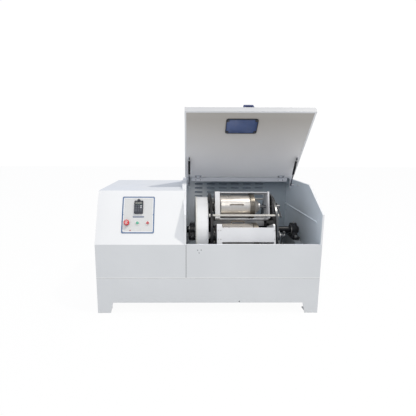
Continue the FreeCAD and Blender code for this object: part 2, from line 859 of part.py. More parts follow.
def make_tie_rods():
    rods = []
    rod = rod_x(left_disc, right_disc_face, tie_rod_radius, axis_y, axis_height + carrier_radius - tie_rod_edge)
    for k in range(planet_count):
        rods.append(moved(turned(rod, axis, 90 - tie_rod_angle + planet_angle * k), split))
    return Part.Compound(rods)


def housing(x0, side, bore):
    """Round flange bearing housing on the top planet's line. Side 1 stands to the right of x0."""
    x1 = x0 + side * bearing_flange_thickness
    x2 = x0 + side * bearing_length
    flange = rod_x(min(x0, x1), max(x0, x1), bearing_flange_radius)
    boss = rod_x(min(x0, x2), max(x0, x2), bearing_boss_radius)
    return fuse([flange, boss]).cut(rod_x(min(x0, x2) - overrun, max(x0, x2) + overrun, bore))


def make_planet_bearings():
    solids = []
    left_one = housing(left_disc + carrier_thickness, 1, cage_stub_radius + running_gap)
    right_one = housing(right_disc_face, 1, cage_sleeve_radius + running_gap)
    for k in range(planet_count):
        for one in (left_one, right_one):
            solids.append(around(moved(one, split, top_planet.y, top_planet.z), k))
    return Part.Compound(solids)


def make_carrier_fasteners():
    """Hexagon heads on the planet bearings and the tie rods' cap nuts."""
    solids = []
    flange_faces = [left_disc + carrier_thickness + bearing_flange_thickness,
                    right_disc_face + bearing_flange_thickness]
    for k in range(planet_count):
        for x in flange_faces:
            for n in range(bearing_bolt_count):
                way = math.radians(360 * n / bearing_bolt_count + 180 / bearing_bolt_count)
                head = hex_x(x, x + bolt_head_height, bolt_head_radius,
                             top_planet.y + bearing_bolt_circle * math.cos(way),
                             top_planet.z + bearing_bolt_circle * math.sin(way))
                solids.append(moved(around(head, k), split))
        for x in (left_disc - tie_nut_height, right_disc_face):
            z = axis_height + carrier_radius - tie_rod_edge
            nut = hex_x(x, x + tie_nut_height, tie_nut_radius, axis_y, z)
            solids.append(moved(turned(nut, axis, 90 - tie_rod_angle + planet_angle * k), split))
    return Part.Compound(solids)


def cage_side(shape):
    """Turns a piece built on the cage's own axes, with its open side along +Y, to the top planet."""
    copy = shape.copy()
    copy.rotate(Vector(0, 0, 0), Vector(1, 0, 0), 180 - cage_angle)
    copy.translate(Vector(split, top_planet.y, top_planet.z))
    return copy


def make_cage():
    """Jar cage: thick left block, two side plates, right end plate, left stub and hollow right sleeve."""
    half_height = cage_height / 2
    half_block = cage_block_width / 2
    swing = rod_x(cage_left, cage_right, cage_swing_radius)
    block = box(cage_left, cage_left + cage_block_thickness, -half_block, half_block, -half_height, half_height)
    end = box(cage_right - cage_end_thickness, cage_right, -half_block, half_block, -half_height, half_height)
    half_plate = cage_plate_width / 2
    plates = [box(cage_left, cage_right, -half_plate, half_plate, z, z + cage_plate_thickness)
              for z in (-half_height, half_height - cage_plate_thickness)]
    body = fuse([block, end] + plates).common(swing)
    stub = rod_x(gear_left - tie_rod_end, cage_left + cage_block_thickness / 2, cage_stub_radius)
    sleeve = rod_x(cage_right - cage_end_thickness, sleeve_end, cage_sleeve_radius)
    bore = rod_x(cage_right - cage_end_thickness - overrun, sleeve_end + overrun, screw_radius + running_gap)
    return cage_side(fuse([body, stub, sleeve]).cut(bore))


# Jar places along X
jar_start = cage_left + cage_block_thickness
jar_end = jar_start + jar_length
seal_start = jar_end + jar_flange_thickness
lid_start = seal_start + jar_seal_thickness
dome_start = lid_start + jar_lid_thickness
dome_end = dome_start + jar_dome_height
pad_start = dome_end
pad_end = pad_start + pad_thickness


def make_jar():
    """Jar body with its flange and two wire grips, the seal ring, and the domed lid."""
    profile = [(jar_start, 0), (jar_start, jar_radius - jar_corner), (jar_start + jar_corner, jar_radius),
               (jar_end, jar_radius), (jar_end, jar_flange_radius), (seal_start, jar_flange_radius),
               (seal_start, jar_radius - jar_wall), (jar_start + jar_base_thickness, jar_radius - jar_wall),
               (jar_start + jar_base_thickness, 0)]
    body = revolve_x(profile)
    half = jar_handle_length / 2
    centre = jar_start + jar_handle_centre
    root = jar_radius - jar_wall / 2
    grips = []
    for side in (1, -1):
        y0 = side * root
        y1 = side * (jar_radius + jar_handle_reach)
        path = [Vector(centre - half, y0, 0), Vector(centre - half, y1, 0),
                Vector(centre + half, y1, 0), Vector(centre + half, y0, 0)]
        grips.append(bent_rod(path, jar_handle_bend, jar_handle_wire))
    body = fuse([body] + grips)
    seal = ring_x(seal_start, lid_start, jar_seal_radius, jar_radius - jar_wall)
    cap = revolve_x([(lid_start, 0), (lid_start, jar_flange_radius), (dome_start, jar_flange_radius),
                     (dome_start, jar_dome_radius), (dome_end, jar_dome_top_radius), (dome_end, 0)])
    return cage_side(Part.Compound([body, seal, cap]))


def make_pad():
    """Swivel pad between the screw and the jar lid."""
    pad = rod_x(pad_start, pad_end, pad_radius)
    pad = pad.makeChamfer(pad_thickness / 6, circles(pad))
    socket = rod_x(pad_start + pad_thickness / 2, pad_end + overrun, screw_radius + running_gap)
    return cage_side(pad.cut(socket))


def make_clamp_screw():
    """Screw through the hollow sleeve, with its head and sliding tommy bar."""
    stem = rod_x(pad_start + pad_thickness / 2 + running_gap, sleeve_end + screw_reach + pad_play, screw_radius)
    head_start = sleeve_end + screw_reach
    head = rod_x(head_start, head_start + screw_head_length, screw_head_radius)
    head = head.makeChamfer(screw_head_length / 12, circles(head))
    middle = head_start + screw_head_length / 2
    way = Vector(0, -math.cos(math.radians(tommy_angle)), math.sin(math.radians(tommy_angle)))
    start = Vector(middle, 0, 0) - way * tommy_short_reach
    bar = Part.makeCylinder(tommy_radius, tommy_long_reach + tommy_short_reach, start, way)
    far_end = Vector(middle, 0, 0) + way * tommy_long_reach
    bar = fuse([bar, ball(tommy_ball_radius, start, way), ball(tommy_ball_radius, far_end, way)])
    screw = fuse([stem, head, bar])
    screw.translate(Vector(split, top_planet.y, top_planet.z))
    return screw


def bearing_places():
    return [split + bearing_centre_left, split + bearing_centre_right]


def make_pillow_blocks():
    solids = []
    base_bottom = axis_height - block_centre_height
    for x in bearing_places():
        half = block_base_length / 2
        base = box(x - block_width / 2, x + block_width / 2, axis_y - half, axis_y + half,
                   base_bottom, base_bottom + block_base_thickness)
        base = base.makeFillet(block_width / 3, uprights(base))
        body = rod_x(x - block_body_width / 2, x + block_body_width / 2, block_body_radius, axis_y, axis_height)
        shoulder = block_body_radius * block_shoulder_share
        waist = block_body_radius * block_web_share
        web = prism_x([(axis_y - shoulder, base_bottom), (axis_y - waist, axis_height),
                       (axis_y + waist, axis_height), (axis_y + shoulder, base_bottom)],
                      x - block_body_width / 2, x + block_body_width / 2)
        block = fuse([base, body, web])
        block = block.common(box(x - block_width, x + block_width, axis_y - half, axis_y + half, base_bottom,
                                 axis_height + block_body_radius))
        holes = [rod_x(x - block_width, x + block_width, insert_radius, axis_y, axis_height)]
        for side in (-1, 1):
            start = Vector(x, axis_y + side * block_bolt_spacing / 2, base_bottom - overrun)
            holes.append(Part.makeCylinder(bolt_head_radius * bolt_shank_share,
                                           block_base_thickness + 2 * overrun, start))
        solids.append(cut(block, holes))
    return Part.Compound(solids)


def make_bearing_inserts():
    return Part.Compound([ring_x(x - insert_width / 2, x + insert_width / 2, insert_radius,
                                 shaft_radius + running_gap, axis_y, axis_height) for x in bearing_places()])


def make_stand_bolts():
    """Bolts that hold the pillow blocks to their stands."""
    solids = []
    base_bottom = axis_height - block_centre_height
    for x in bearing_places():
        for side in (-1, 1):
            y = axis_y + side * block_bolt_spacing / 2
            z = base_bottom + block_base_thickness
            head = hex_x(0, bolt_head_height * stand_bolt_share, bolt_head_radius * stand_bolt_share, 0, 0)
            head = turned(head, Vector(0, 0, 0), -90, Vector(0, 1, 0))
            head = moved(head, x, y, z)
            shank = Part.makeCylinder(bolt_head_radius * bolt_shank_share, block_base_thickness,
                                      Vector(x, y, base_bottom))
            solids.append(fuse([head, shank]))
    return Part.Compound(solids)


def make_stands():
    """Welded box beam on two legs with foot plates, one under each shaft bearing."""
    solids = []
    top = axis_height - block_centre_height
    for x in bearing_places():
        half_w = stand_width / 2
        half_l = stand_length / 2
        parts = [box(x - half_w, x + half_w, axis_y - half_l, axis_y + half_l, top - stand_beam_height, top)]
        for side in (-1, 1):
            y = axis_y + side * (half_l - stand_leg_size / 2)
            half_leg = stand_leg_size / 2
            parts.append(box(x - half_leg, x + half_leg, y - half_leg, y + half_leg,
                             deck_top, top - stand_beam_height))
            foot = half_leg + stand_foot_margin
            parts.append(box(x - half_w, x + half_w, y - foot, y + foot,
                             deck_top, deck_top + stand_foot_thickness))
        solids.append(fuse(parts))
    return Part.Compound(solids)


# Drive places
pulley_right = split - pulley_start + pulley_width
pulley_left = split - pulley_start
motor_centre = Vector(0, axis_y, motor_axis_height)
groove_centres = [pulley_left + pulley_width / 2 + side * groove_spacing / 2 for side in (-1, 1)]


def pulley(radius, centre, bore, web_radius):
    """Two-groove V pulley along X. A web radius over the hub leaves the sides dished."""
    x0, x1 = pulley_left, pulley_right
    outline = [(x0, 0), (x0, radius)]
    for middle in groove_centres:
        outline += [(middle - groove_half_width, radius),
                    (middle - groove_base_half_width, radius - groove_depth),
                    (middle + groove_base_half_width, radius - groove_depth),
                    (middle + groove_half_width, radius)]
    outline += [(x1, radius), (x1, 0)]
    body = moved(revolve_x(outline), 0, centre.y, centre.z)
    tools = [rod_x(x0 - overrun, x1 + overrun, bore, centre.y, centre.z)]
    if web_radius > pulley_hub_radius:
        side = (pulley_width - pulley_web) / 2
        tools.append(ring_x(x0 - overrun, x0 + side, web_radius, pulley_hub_radius, centre.y, centre.z))
        tools.append(ring_x(x1 - side, x1 + overrun, web_radius, pulley_hub_radius, centre.y, centre.z))
    return cut(body, tools)


def make_driven_pulley():
    return pulley(driven_pulley_radius, axis, shaft_radius, driven_pulley_radius - groove_depth - pulley_rim)


def make_motor_pulley():
    wheel = pulley(motor_pulley_radius, motor_centre, motor_shaft_radius / 2, 0)
    shaft = rod_x(pulley_left - motor_gap - motor_shield_length / 2, pulley_right, motor_shaft_radius,
                  motor_centre.y, motor_centre.z)
    return fuse([wheel, shaft])


def belt(middle):
    """V belt: a tapered section swept round both pulleys on tangent runs."""
    seat = groove_depth - moving_gap
    high = driven_pulley_radius - seat
    low = motor_pulley_radius - seat
    tilt = math.asin((low - high) / (axis_height - motor_axis_height))
    way = Vector(0, math.cos(tilt), math.sin(tilt))
    mirror = Vector(0, -way.y, way.z)
    top = Vector(middle, axis_y, axis_height)
    bottom = Vector(middle, axis_y, motor_axis_height)
    up = Vector(0, 0, 1)
    path = Part.Wire([Part.Arc(top + mirror * high, top + up * high, top + way * high).toShape(),
                      Part.LineSegment(top + way * high, bottom + way * low).toShape(),
                      Part.Arc(bottom + way * low, bottom - up * low, bottom + mirror * low).toShape(),
                      Part.LineSegment(bottom + mirror * low, top + mirror * high).toShape()])
    half_base = Vector(groove_base_half_width - moving_gap, 0, 0)
    half_top = Vector(groove_half_width - 2 * moving_gap, 0, 0)
    start = top + mirror * high
    outer = start + mirror * belt_depth
    section = Part.makePolygon([start - half_base, start + half_base, outer + half_top, outer - half_top,
                                start - half_base])
    return path.makePipeShell([section], True, False)


def make_belts():
    return Part.Compound([belt(middle) for middle in groove_centres])


motor_right = pulley_left - motor_gap
motor_left = motor_right - motor_length


def make_motor():
    """Foot-mounted motor: ribbed body, two end shields, fan cowl, terminal box and feet."""
    y, z = motor_centre.y, motor_centre.z
    body = rod_x(motor_left + motor_shield_length, motor_right - motor_shield_length,
                 motor_radius - motor_fin_height, y, z)
    fins = []
    for k in range(motor_fin_count):
        fin = box(motor_left + motor_shield_length, motor_right - motor_shield_length,
                  y - motor_fin_thickness / 2, y + motor_fin_thickness / 2, z, z + motor_radius)
        fins.append(turned(fin, motor_centre, 360 * (k + 0.5) / motor_fin_count))
    shields = [rod_x(motor_left, motor_left + motor_shield_length, motor_radius, y, z),
               rod_x(motor_right - motor_shield_length, motor_right, motor_radius, y, z)]
    cowl = rod_x(motor_left - motor_fan_length, motor_left, motor_radius, y, z)
    box_ends = [motor_left + motor_length * share for share in motor_box_shares]
    terminal = box(box_ends[0], box_ends[1], y - motor_radius / 2, y + motor_radius / 2,
                   z, z + motor_radius * motor_box_height_share)
    feet = []
    for share in motor_foot_start_shares:
        x = motor_left + motor_length * share
        feet.append(box(x, x + motor_length * motor_foot_share, y - motor_radius, y + motor_radius,
                        deck_top + motor_foot_height, z - motor_radius / 2))
    motor = fuse([body, cowl, terminal] + shields + fins + feet)
    return motor.cut(rod_x(motor_right - motor_shield_length, motor_right + overrun,
                           motor_shaft_radius + running_gap, y, z))


def make_motor_base():
    x0 = (motor_left + motor_right - motor_base_length) / 2
    y0 = axis_y - motor_base_width / 2
    middle = deck_top + motor_foot_height / 2
    rail_width = motor_base_width / 5
    rails = [box(x0, x0 + motor_base_length, y, y + rail_width, deck_top, middle)
             for y in (y0, y0 + motor_base_width - rail_width)]
    plate = box(x0, x0 + motor_base_length, y0, y0 + motor_base_width, middle, deck_top + motor_foot_height)
    return fuse(rails + [plate])


def make_inverter():
    x1 = split - inverter_from_split
    y1 = rear - sheet
    case = round_slab(x1 - inverter_width, x1, y1 - inverter_depth, y1, inverter_bottom,
                      inverter_bottom + inverter_height, keypad_corner)
    return case


# Sloping face of the cover
slope_angle = math.degrees(math.atan2(cover_top_height - front_height, cover_slope_depth))


def on_slope(shape):
    """Places a piece drawn flat (X across, Y up the slope, Z outwards) on the sloping face."""
    copy = shape.copy()
    copy.rotate(Vector(0, 0, 0), Vector(1, 0, 0), slope_angle)
    copy.translate(Vector(split, front, front_height))
    return copy


def button_places():
    return [(-stop_from_split, stop_neck_radius), (-green_from_split, push_head_radius),
            (-red_from_split, push_head_radius)]


def button_holes(z0, z1, gap):
    return [Part.makeCylinder(radius + gap, z1 - z0, Vector(x, button_row, z0))
            for x, radius in button_places()]


def make_control_plate():
    """Plate with a small notch in the middle of each side of its border."""
    x1 = -plate_from_split
    x0 = x1 - plate_width
    plate = round_slab(x0, x1, plate_start, plate_start + plate_height, 0, plate_thickness, plate_border)
    middle = plate_start + plate_height / 2
    notches = [Part.makeCylinder(plate_notch, plate_thickness + 2 * overrun, Vector(x, middle, -overrun))
               for x in (x0, x1)]
    return on_slope(cut(plate, notches + button_holes(-overrun, plate_thickness + overrun, moving_gap)))


def make_keypad():
    x1 = -keypad_from_split
    x0 = x1 - keypad_width
    top = plate_thickness + keypad_thickness
    body = round_slab(x0, x1, keypad_start, keypad_start + keypad_height, plate_thickness, top, keypad_corner)
    tab = Part.makeCylinder(keypad_tab_radius, keypad_thickness,
                            Vector((x0 + x1) / 2, keypad_start + keypad_height, plate_thickness))
    return on_slope(fuse([body, tab]))


def make_keypad_knob():
    x = -keypad_from_split - keypad_width / 2
    z = plate_thickness + keypad_thickness
    y = keypad_start + keypad_height
    knob = Part.makeCylinder(knob_radius, knob_height, Vector(x, y, z))
    pointer = box(x - knob_radius / 8, x + knob_radius / 8, y, y + knob_radius * 2,
                  z + knob_height - knob_radius / 6, z + knob_height + overrun)
    return on_slope(knob.cut(pointer))


def make_button_rings():
    rings = []
    for (x, hole), outer in zip(button_places(), (stop_ring_radius, push_ring_radius, push_ring_radius)):
        ring = Part.makeCylinder(outer, ring_height, Vector(x, button_row, plate_thickness))
        rings.append(ring.cut(Part.makeCylinder(hole + moving_gap, ring_height + 2 * overrun,
                                                Vector(x, button_row, plate_thickness - overrun))))
    return on_slope(Part.Compound(rings))


def make_stop_head():
    z = plate_thickness + ring_height + stop_travel + moving_gap
    neck = Part.makeCylinder(stop_neck_radius, z, Vector(-stop_from_split, button_row, 0))
    head = Part.makeCylinder(stop_head_radius, stop_head_height, Vector(-stop_from_split, button_row, z))
    top = [edge for edge in circles(head) if edge.CenterOfMass.z > z + stop_head_height / 2]
    head = head.makeChamfer(stop_head_height / 3, top)
    return on_slope(fuse([neck, head]))


def make_push_button(from_split):
    length = plate_thickness + ring_height + push_travel + push_rise
    button = Part.makeCylinder(push_head_radius, length, Vector(-from_split, button_row, 0))
    top = [edge for edge in circles(button) if edge.CenterOfMass.z > length / 2]
    return on_slope(button.makeChamfer(push_rise, top))


def cut_button_holes(cover):
    holes = [on_slope(tool) for tool in button_holes(-sheet - overrun, overrun, moving_gap)]
    return cut(cover, holes)


save("base_frame", make_base())
save("left_cover", cut_button_holes(make_left_cover()))
save("left_rear_panel", make_cover_rear())
save("chamber_front_panel", make_front_panel())
save("chamber_left_wall", make_left_wall())
save("chamber_right_wall", make_right_wall())
save("chamber_back_wall", make_back_wall())
save("rear_top_panel", make_rear_top_panel())
save("machine_stands", Part.Compound([make_stands(), make_drum_bracket(), make_motor_base()]))
save("pillow_blocks", make_pillow_blocks())
save("bearing_inserts", Part.Compound([make_bearing_inserts(), make_stand_bolts()]))
save("gear_drum", make_drum())
save("sun_gear", make_sun_gear())
save("main_shaft", make_shaft())
save("left_carrier_disc", make_carrier_disc(left_disc, 1, carrier_hole_radius))
save("right_carrier_disc", make_carrier_disc(right_disc, -1, carrier_hole_radius))
save("tie_rods", Part.Compound([make_tie_rods(), make_carrier_fasteners()]))
save("planet_bearings", make_planet_bearings())
save("driven_pulley", make_driven_pulley())
cage, planet_gear, jar, pad, screw = make_cage(), make_planet_gear(), make_jar(), make_pad(), make_clamp_screw()
for number in range(planet_count):
    tag = str(number + 1)
    save("jar_cage_" + tag, around(cage, number))
    save("planet_gear_" + tag, around(planet_gear, number))
    save("jar_" + tag, around(jar, number))
    save("clamp_pad_" + tag, around(pad, number))
    save("clamp_screw_" + tag, around(screw, number))
save("lid_pan", Part.Compound([make_lid_pan(), make_lid_liner()]))
save("window_pane", make_window_pane())
save("window_seal", make_window_seal())
save("lid_handle", make_lid_handle())
save("lid_fittings", Part.Compound([make_lid_hinges(), make_lid_studs()]))
save("cabinet_fittings", Part.Compound([make_fixed_hinges(), make_wall_studs()]))
for number, tag in enumerate(("left", "right")):
    save("strut_tube_" + tag, make_strut_tube(number))
    save("strut_rod_" + tag, make_strut_rod(number))
save("motor", make_motor())
save("motor_pulley", make_motor_pulley())
save("drive_belts", make_belts())
save("inverter", make_inverter())
save("control_plate", make_control_plate())
save("keypad", make_keypad())
save("keypad_knob", make_keypad_knob())
save("button_rings", make_button_rings())
save("emergency_stop", make_stop_head())
save("green_button", make_push_button(green_from_split))
save("red_button", make_push_button(red_from_split))
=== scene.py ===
"""Horizontal planetary ball mill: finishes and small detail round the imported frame.

Lengths are metres in the CAD frame: X to the right, Y to the rear, Z up, floor at Z 0.
"""
import bmesh
import bpy
import math
from mathutils import Matrix, Vector


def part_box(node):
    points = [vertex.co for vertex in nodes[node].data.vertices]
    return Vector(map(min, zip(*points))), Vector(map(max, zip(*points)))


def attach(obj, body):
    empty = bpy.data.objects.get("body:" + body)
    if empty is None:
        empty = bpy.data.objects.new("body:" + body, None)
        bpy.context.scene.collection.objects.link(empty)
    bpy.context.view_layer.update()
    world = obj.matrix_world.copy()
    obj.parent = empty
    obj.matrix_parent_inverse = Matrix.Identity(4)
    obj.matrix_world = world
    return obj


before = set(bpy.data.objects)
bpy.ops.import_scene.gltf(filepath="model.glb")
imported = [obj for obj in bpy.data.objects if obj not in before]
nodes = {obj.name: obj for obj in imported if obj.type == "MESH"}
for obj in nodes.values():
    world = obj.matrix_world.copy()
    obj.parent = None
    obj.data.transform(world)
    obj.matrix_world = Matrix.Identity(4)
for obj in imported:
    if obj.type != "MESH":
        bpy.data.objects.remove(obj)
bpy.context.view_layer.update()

to_right, to_left = (1, 0, 0), (-1, 0, 0)
to_rear, to_front = (0, 1, 0), (0, -1, 0)
to_top, to_floor = (0, 0, 1), (0, 0, -1)

# Places and sizes that the source also names
left, right = -0.750, 0.750
front, rear = -0.4275, 0.4275
split = -0.150
wall_right = 0.738
cheek_thickness = 0.012
cheek_top = 0.847
sheet = 0.003
front_height = 0.484
seam_height = 0.250
slope_angle = math.atan2(0.336, 0.165)
lid_angle = math.radians(47.7)
lid_bottom = 0.860
lid_skin = 0.0015
hinge_y, hinge_z = 0.2785, 0.854
lid_rear = hinge_y - 0.003
hinge_inset, hinge_width = 0.067, 0.058
axis_y, axis_z = -0.0375, 0.490
orbit = 0.180
stations = (1, 2, 3, 4)
planets = [(axis_y, axis_z + orbit), (axis_y - orbit, axis_z), (axis_y, axis_z - orbit),
           (axis_y + orbit, axis_z)]

# Camera, matched to the photograph. Angles are degrees.
camera_place = (-0.1335, -2.5805, 1.136)
camera_pan, camera_tilt, camera_roll = -0.63, -10.67, 0.21
camera_data = bpy.data.cameras.new("camera")
camera_data.lens = 29.42
camera_data.sensor_width = 36.0
camera_data.shift_x = 0.0377
camera = bpy.data.objects.new("camera", camera_data)
bpy.context.scene.collection.objects.link(camera)
camera.matrix_world = (Matrix.Translation(camera_place)
                       @ Matrix.Rotation(math.radians(camera_pan), 4, "Z")
                       @ Matrix.Rotation(math.radians(90 + camera_tilt), 4, "X")
                       @ Matrix.Rotation(math.radians(camera_roll), 4, "Z"))
bpy.context.scene.camera = camera


# Materials

even = (1, 1, 1)
round_x = (1.0, 0.02, 0.02)
grain_depth = 0.0002
corner_radius = 0.0008


def node(tree, kind, **values):
    item = tree.nodes.new(kind)
    for key, value in values.items():
        setattr(item, key, value)
    return item


def link(tree, out_socket, in_socket):
    tree.links.new(out_socket, in_socket)


def remap(tree, source, low, high, out_low=0.0, out_high=1.0):
    item = node(tree, "ShaderNodeMapRange", clamp=True)
    item.inputs["From Min"].default_value = low
    item.inputs["From Max"].default_value = high
    item.inputs["To Min"].default_value = out_low
    item.inputs["To Max"].default_value = out_high
    link(tree, source, item.inputs["Value"])
    return item.outputs["Result"]


def noise(tree, coordinates, scale, detail, stretch=even):
    mapping = node(tree, "ShaderNodeMapping")
    mapping.inputs["Scale"].default_value = stretch
    link(tree, coordinates, mapping.inputs["Vector"])
    item = node(tree, "ShaderNodeTexNoise")
    item.inputs["Scale"].default_value = scale
    item.inputs["Detail"].default_value = detail
    link(tree, mapping.outputs["Vector"], item.inputs["Vector"])
    return item.outputs["Fac"]


def patches(tree, coordinates, scale, detail, low, high, stretch=even):
    """Noise with the part between low and high spread over 0 to 1."""
    return remap(tree, noise(tree, coordinates, scale, detail, stretch), low, high)


def mix(tree, factor, first, second):
    """first where the factor is 0 and second where it is 1. Colours may be sockets or plain values."""
    item = node(tree, "ShaderNodeMix", data_type="RGBA")
    link(tree, factor, item.inputs[0])
    for socket, colour in ((item.inputs[6], first), (item.inputs[7], second)):
        if isinstance(colour, bpy.types.NodeSocket):
            link(tree, colour, socket)
        else:
            socket.default_value = (*colour[:3], 1.0)
    return item.outputs[2]


def times(tree, first, second):
    item = node(tree, "ShaderNodeMath", operation="MULTIPLY")
    link(tree, first, item.inputs[0])
    link(tree, second, item.inputs[1])
    return item.outputs[0]


def part_of(tree, vector, axis):
    """One coordinate of a vector socket."""
    item = node(tree, "ShaderNodeSeparateXYZ")
    link(tree, vector, item.inputs["Vector"])
    return item.outputs[axis]


def rounded_normal(tree, radius):
    item = node(tree, "ShaderNodeBevel", samples=6)
    item.inputs["Radius"].default_value = radius
    return item.outputs["Normal"]


def worn_and_lit_edge_mask(tree, coordinates, width, amount):
    """High on the edges of a shape, broken up by noise. It mixes in the edge colour, which stands for wear
    and, where lighter, for a painted edge highlight.
    """
    flat = node(tree, "ShaderNodeNewGeometry").outputs["True Normal"]
    likeness = node(tree, "ShaderNodeVectorMath", operation="DOT_PRODUCT")
    link(tree, rounded_normal(tree, width), likeness.inputs[0])
    link(tree, flat, likeness.inputs[1])
    rim = remap(tree, likeness.outputs["Value"], 0.98, 0.82, 0.0, amount)
    return times(tree, rim, patches(tree, coordinates, 60.0, 5.0, 0.42, 0.6))


def dust_and_top_shade_mask(tree, slow):
    """High on faces that look up, uneven with the slow tone: dust, and on the cabinet paint a painted shade
    on the tops.
    """
    normal = node(tree, "ShaderNodeNewGeometry").outputs["Normal"]
    level = remap(tree, part_of(tree, normal, "Z"), 0.75, 1.0, 0.0, 0.35)
    return times(tree, level, remap(tree, slow, 0.35, 0.65, 0.3, 1.0))


def shade(colour, factor):
    return tuple(min(1.0, max(0.0, channel * factor)) for channel in colour)


def new_material(name):
    """A node material with its tree, its shader and its object coordinates."""
    made = bpy.data.materials.new(name)
    made.use_nodes = True
    tree = made.node_tree
    coordinates = node(tree, "ShaderNodeTexCoord").outputs["Object"]
    return made, tree, tree.nodes["Principled BSDF"], coordinates


def material(name, colour, rough, metallic=0.0, tone=0.05, tone_scale=5.0, rough_spread=0.08, grain=0.15,
             grain_scale=700.0, stretch=even, edge=None, edge_width=0.0015, edge_amount=0.6, coat=0.0,
             specks=None, specks_scale=260.0, dust_and_top_shade=None, second=None, second_scale=2.0, painted_light_fade=None,
             painted_light_fade_axis="Z", specular=0.5):
    """Procedural finish: slow tone, fine grain, uneven gloss, worn edges with a painted highlight, rounded
    corners, dust with painted shade on tops, and a painted light fade.
    """
    made, tree, shader, coordinates = new_material(name)
    slow = noise(tree, coordinates, tone_scale, 4.0)
    base = mix(tree, remap(tree, slow, 0.3, 0.7), shade(colour, 1 - tone), shade(colour, 1 + tone))
    if second:
        base = mix(tree, patches(tree, coordinates, second_scale, 6.0, 0.45, 0.65), base, second)
    if stretch != even:
        streaks = patches(tree, coordinates, grain_scale * 0.4, 3.0, 0.3, 0.7, stretch)
        base = mix(tree, streaks, base, shade(colour, 0.86))
    if specks:
        base = mix(tree, patches(tree, coordinates, specks_scale, 1.0, 0.62, 0.7), base, specks)
    # Dust on up-facing faces, which on the cabinet paint is a bluer, darker painted shade on the tops
    if dust_and_top_shade:
        base = mix(tree, dust_and_top_shade_mask(tree, slow), base, dust_and_top_shade)
    # Painted light and shade: a gradient along one axis from the base colour to a darker shaded end
    if painted_light_fade:
        low, high, shaded_end_colour = painted_light_fade
        base = mix(tree, remap(tree, part_of(tree, coordinates, painted_light_fade_axis), low, high), base, shaded_end_colour)
    # Edges mixed towards the edge colour: wear, and where the edge colour is lighter a painted highlight
    if edge:
        base = mix(tree, worn_and_lit_edge_mask(tree, coordinates, edge_width, edge_amount), base, edge)
    link(tree, base, shader.inputs["Base Color"])
    roughness = remap(tree, slow, 0.3, 0.7, rough - rough_spread, rough + rough_spread)
    link(tree, roughness, shader.inputs["Roughness"])
    shader.inputs["Metallic"].default_value = metallic
    shader.inputs["Specular IOR Level"].default_value = specular
    shader.inputs["Coat Weight"].default_value = coat
    bump = node(tree, "ShaderNodeBump")
    bump.inputs["Strength"].default_value = grain
    bump.inputs["Distance"].default_value = grain_depth
    link(tree, noise(tree, coordinates, grain_scale, 2.0, stretch), bump.inputs["Height"])
    link(tree, rounded_normal(tree, corner_radius), bump.inputs["Normal"])
    link(tree, bump.outputs["Normal"], shader.inputs["Normal"])
    return made


def glass(name, colour):
    """Tinted acrylic: see-through, with faint wipe marks in its gloss."""
    made, tree, shader, coordinates = new_material(name)
    smear = noise(tree, coordinates, 9.0, 5.0, (1, 3, 1))
    tint = mix(tree, remap(tree, smear, 0.3, 0.7), shade(colour, 0.88), shade(colour, 1.12))
    link(tree, tint, shader.inputs["Base Color"])
    link(tree, remap(tree, smear, 0.35, 0.7, 0.06, 0.16), shader.inputs["Roughness"])
    shader.inputs["Transmission Weight"].default_value = 0.45
    shader.inputs["IOR"].default_value = 1.49
    return made


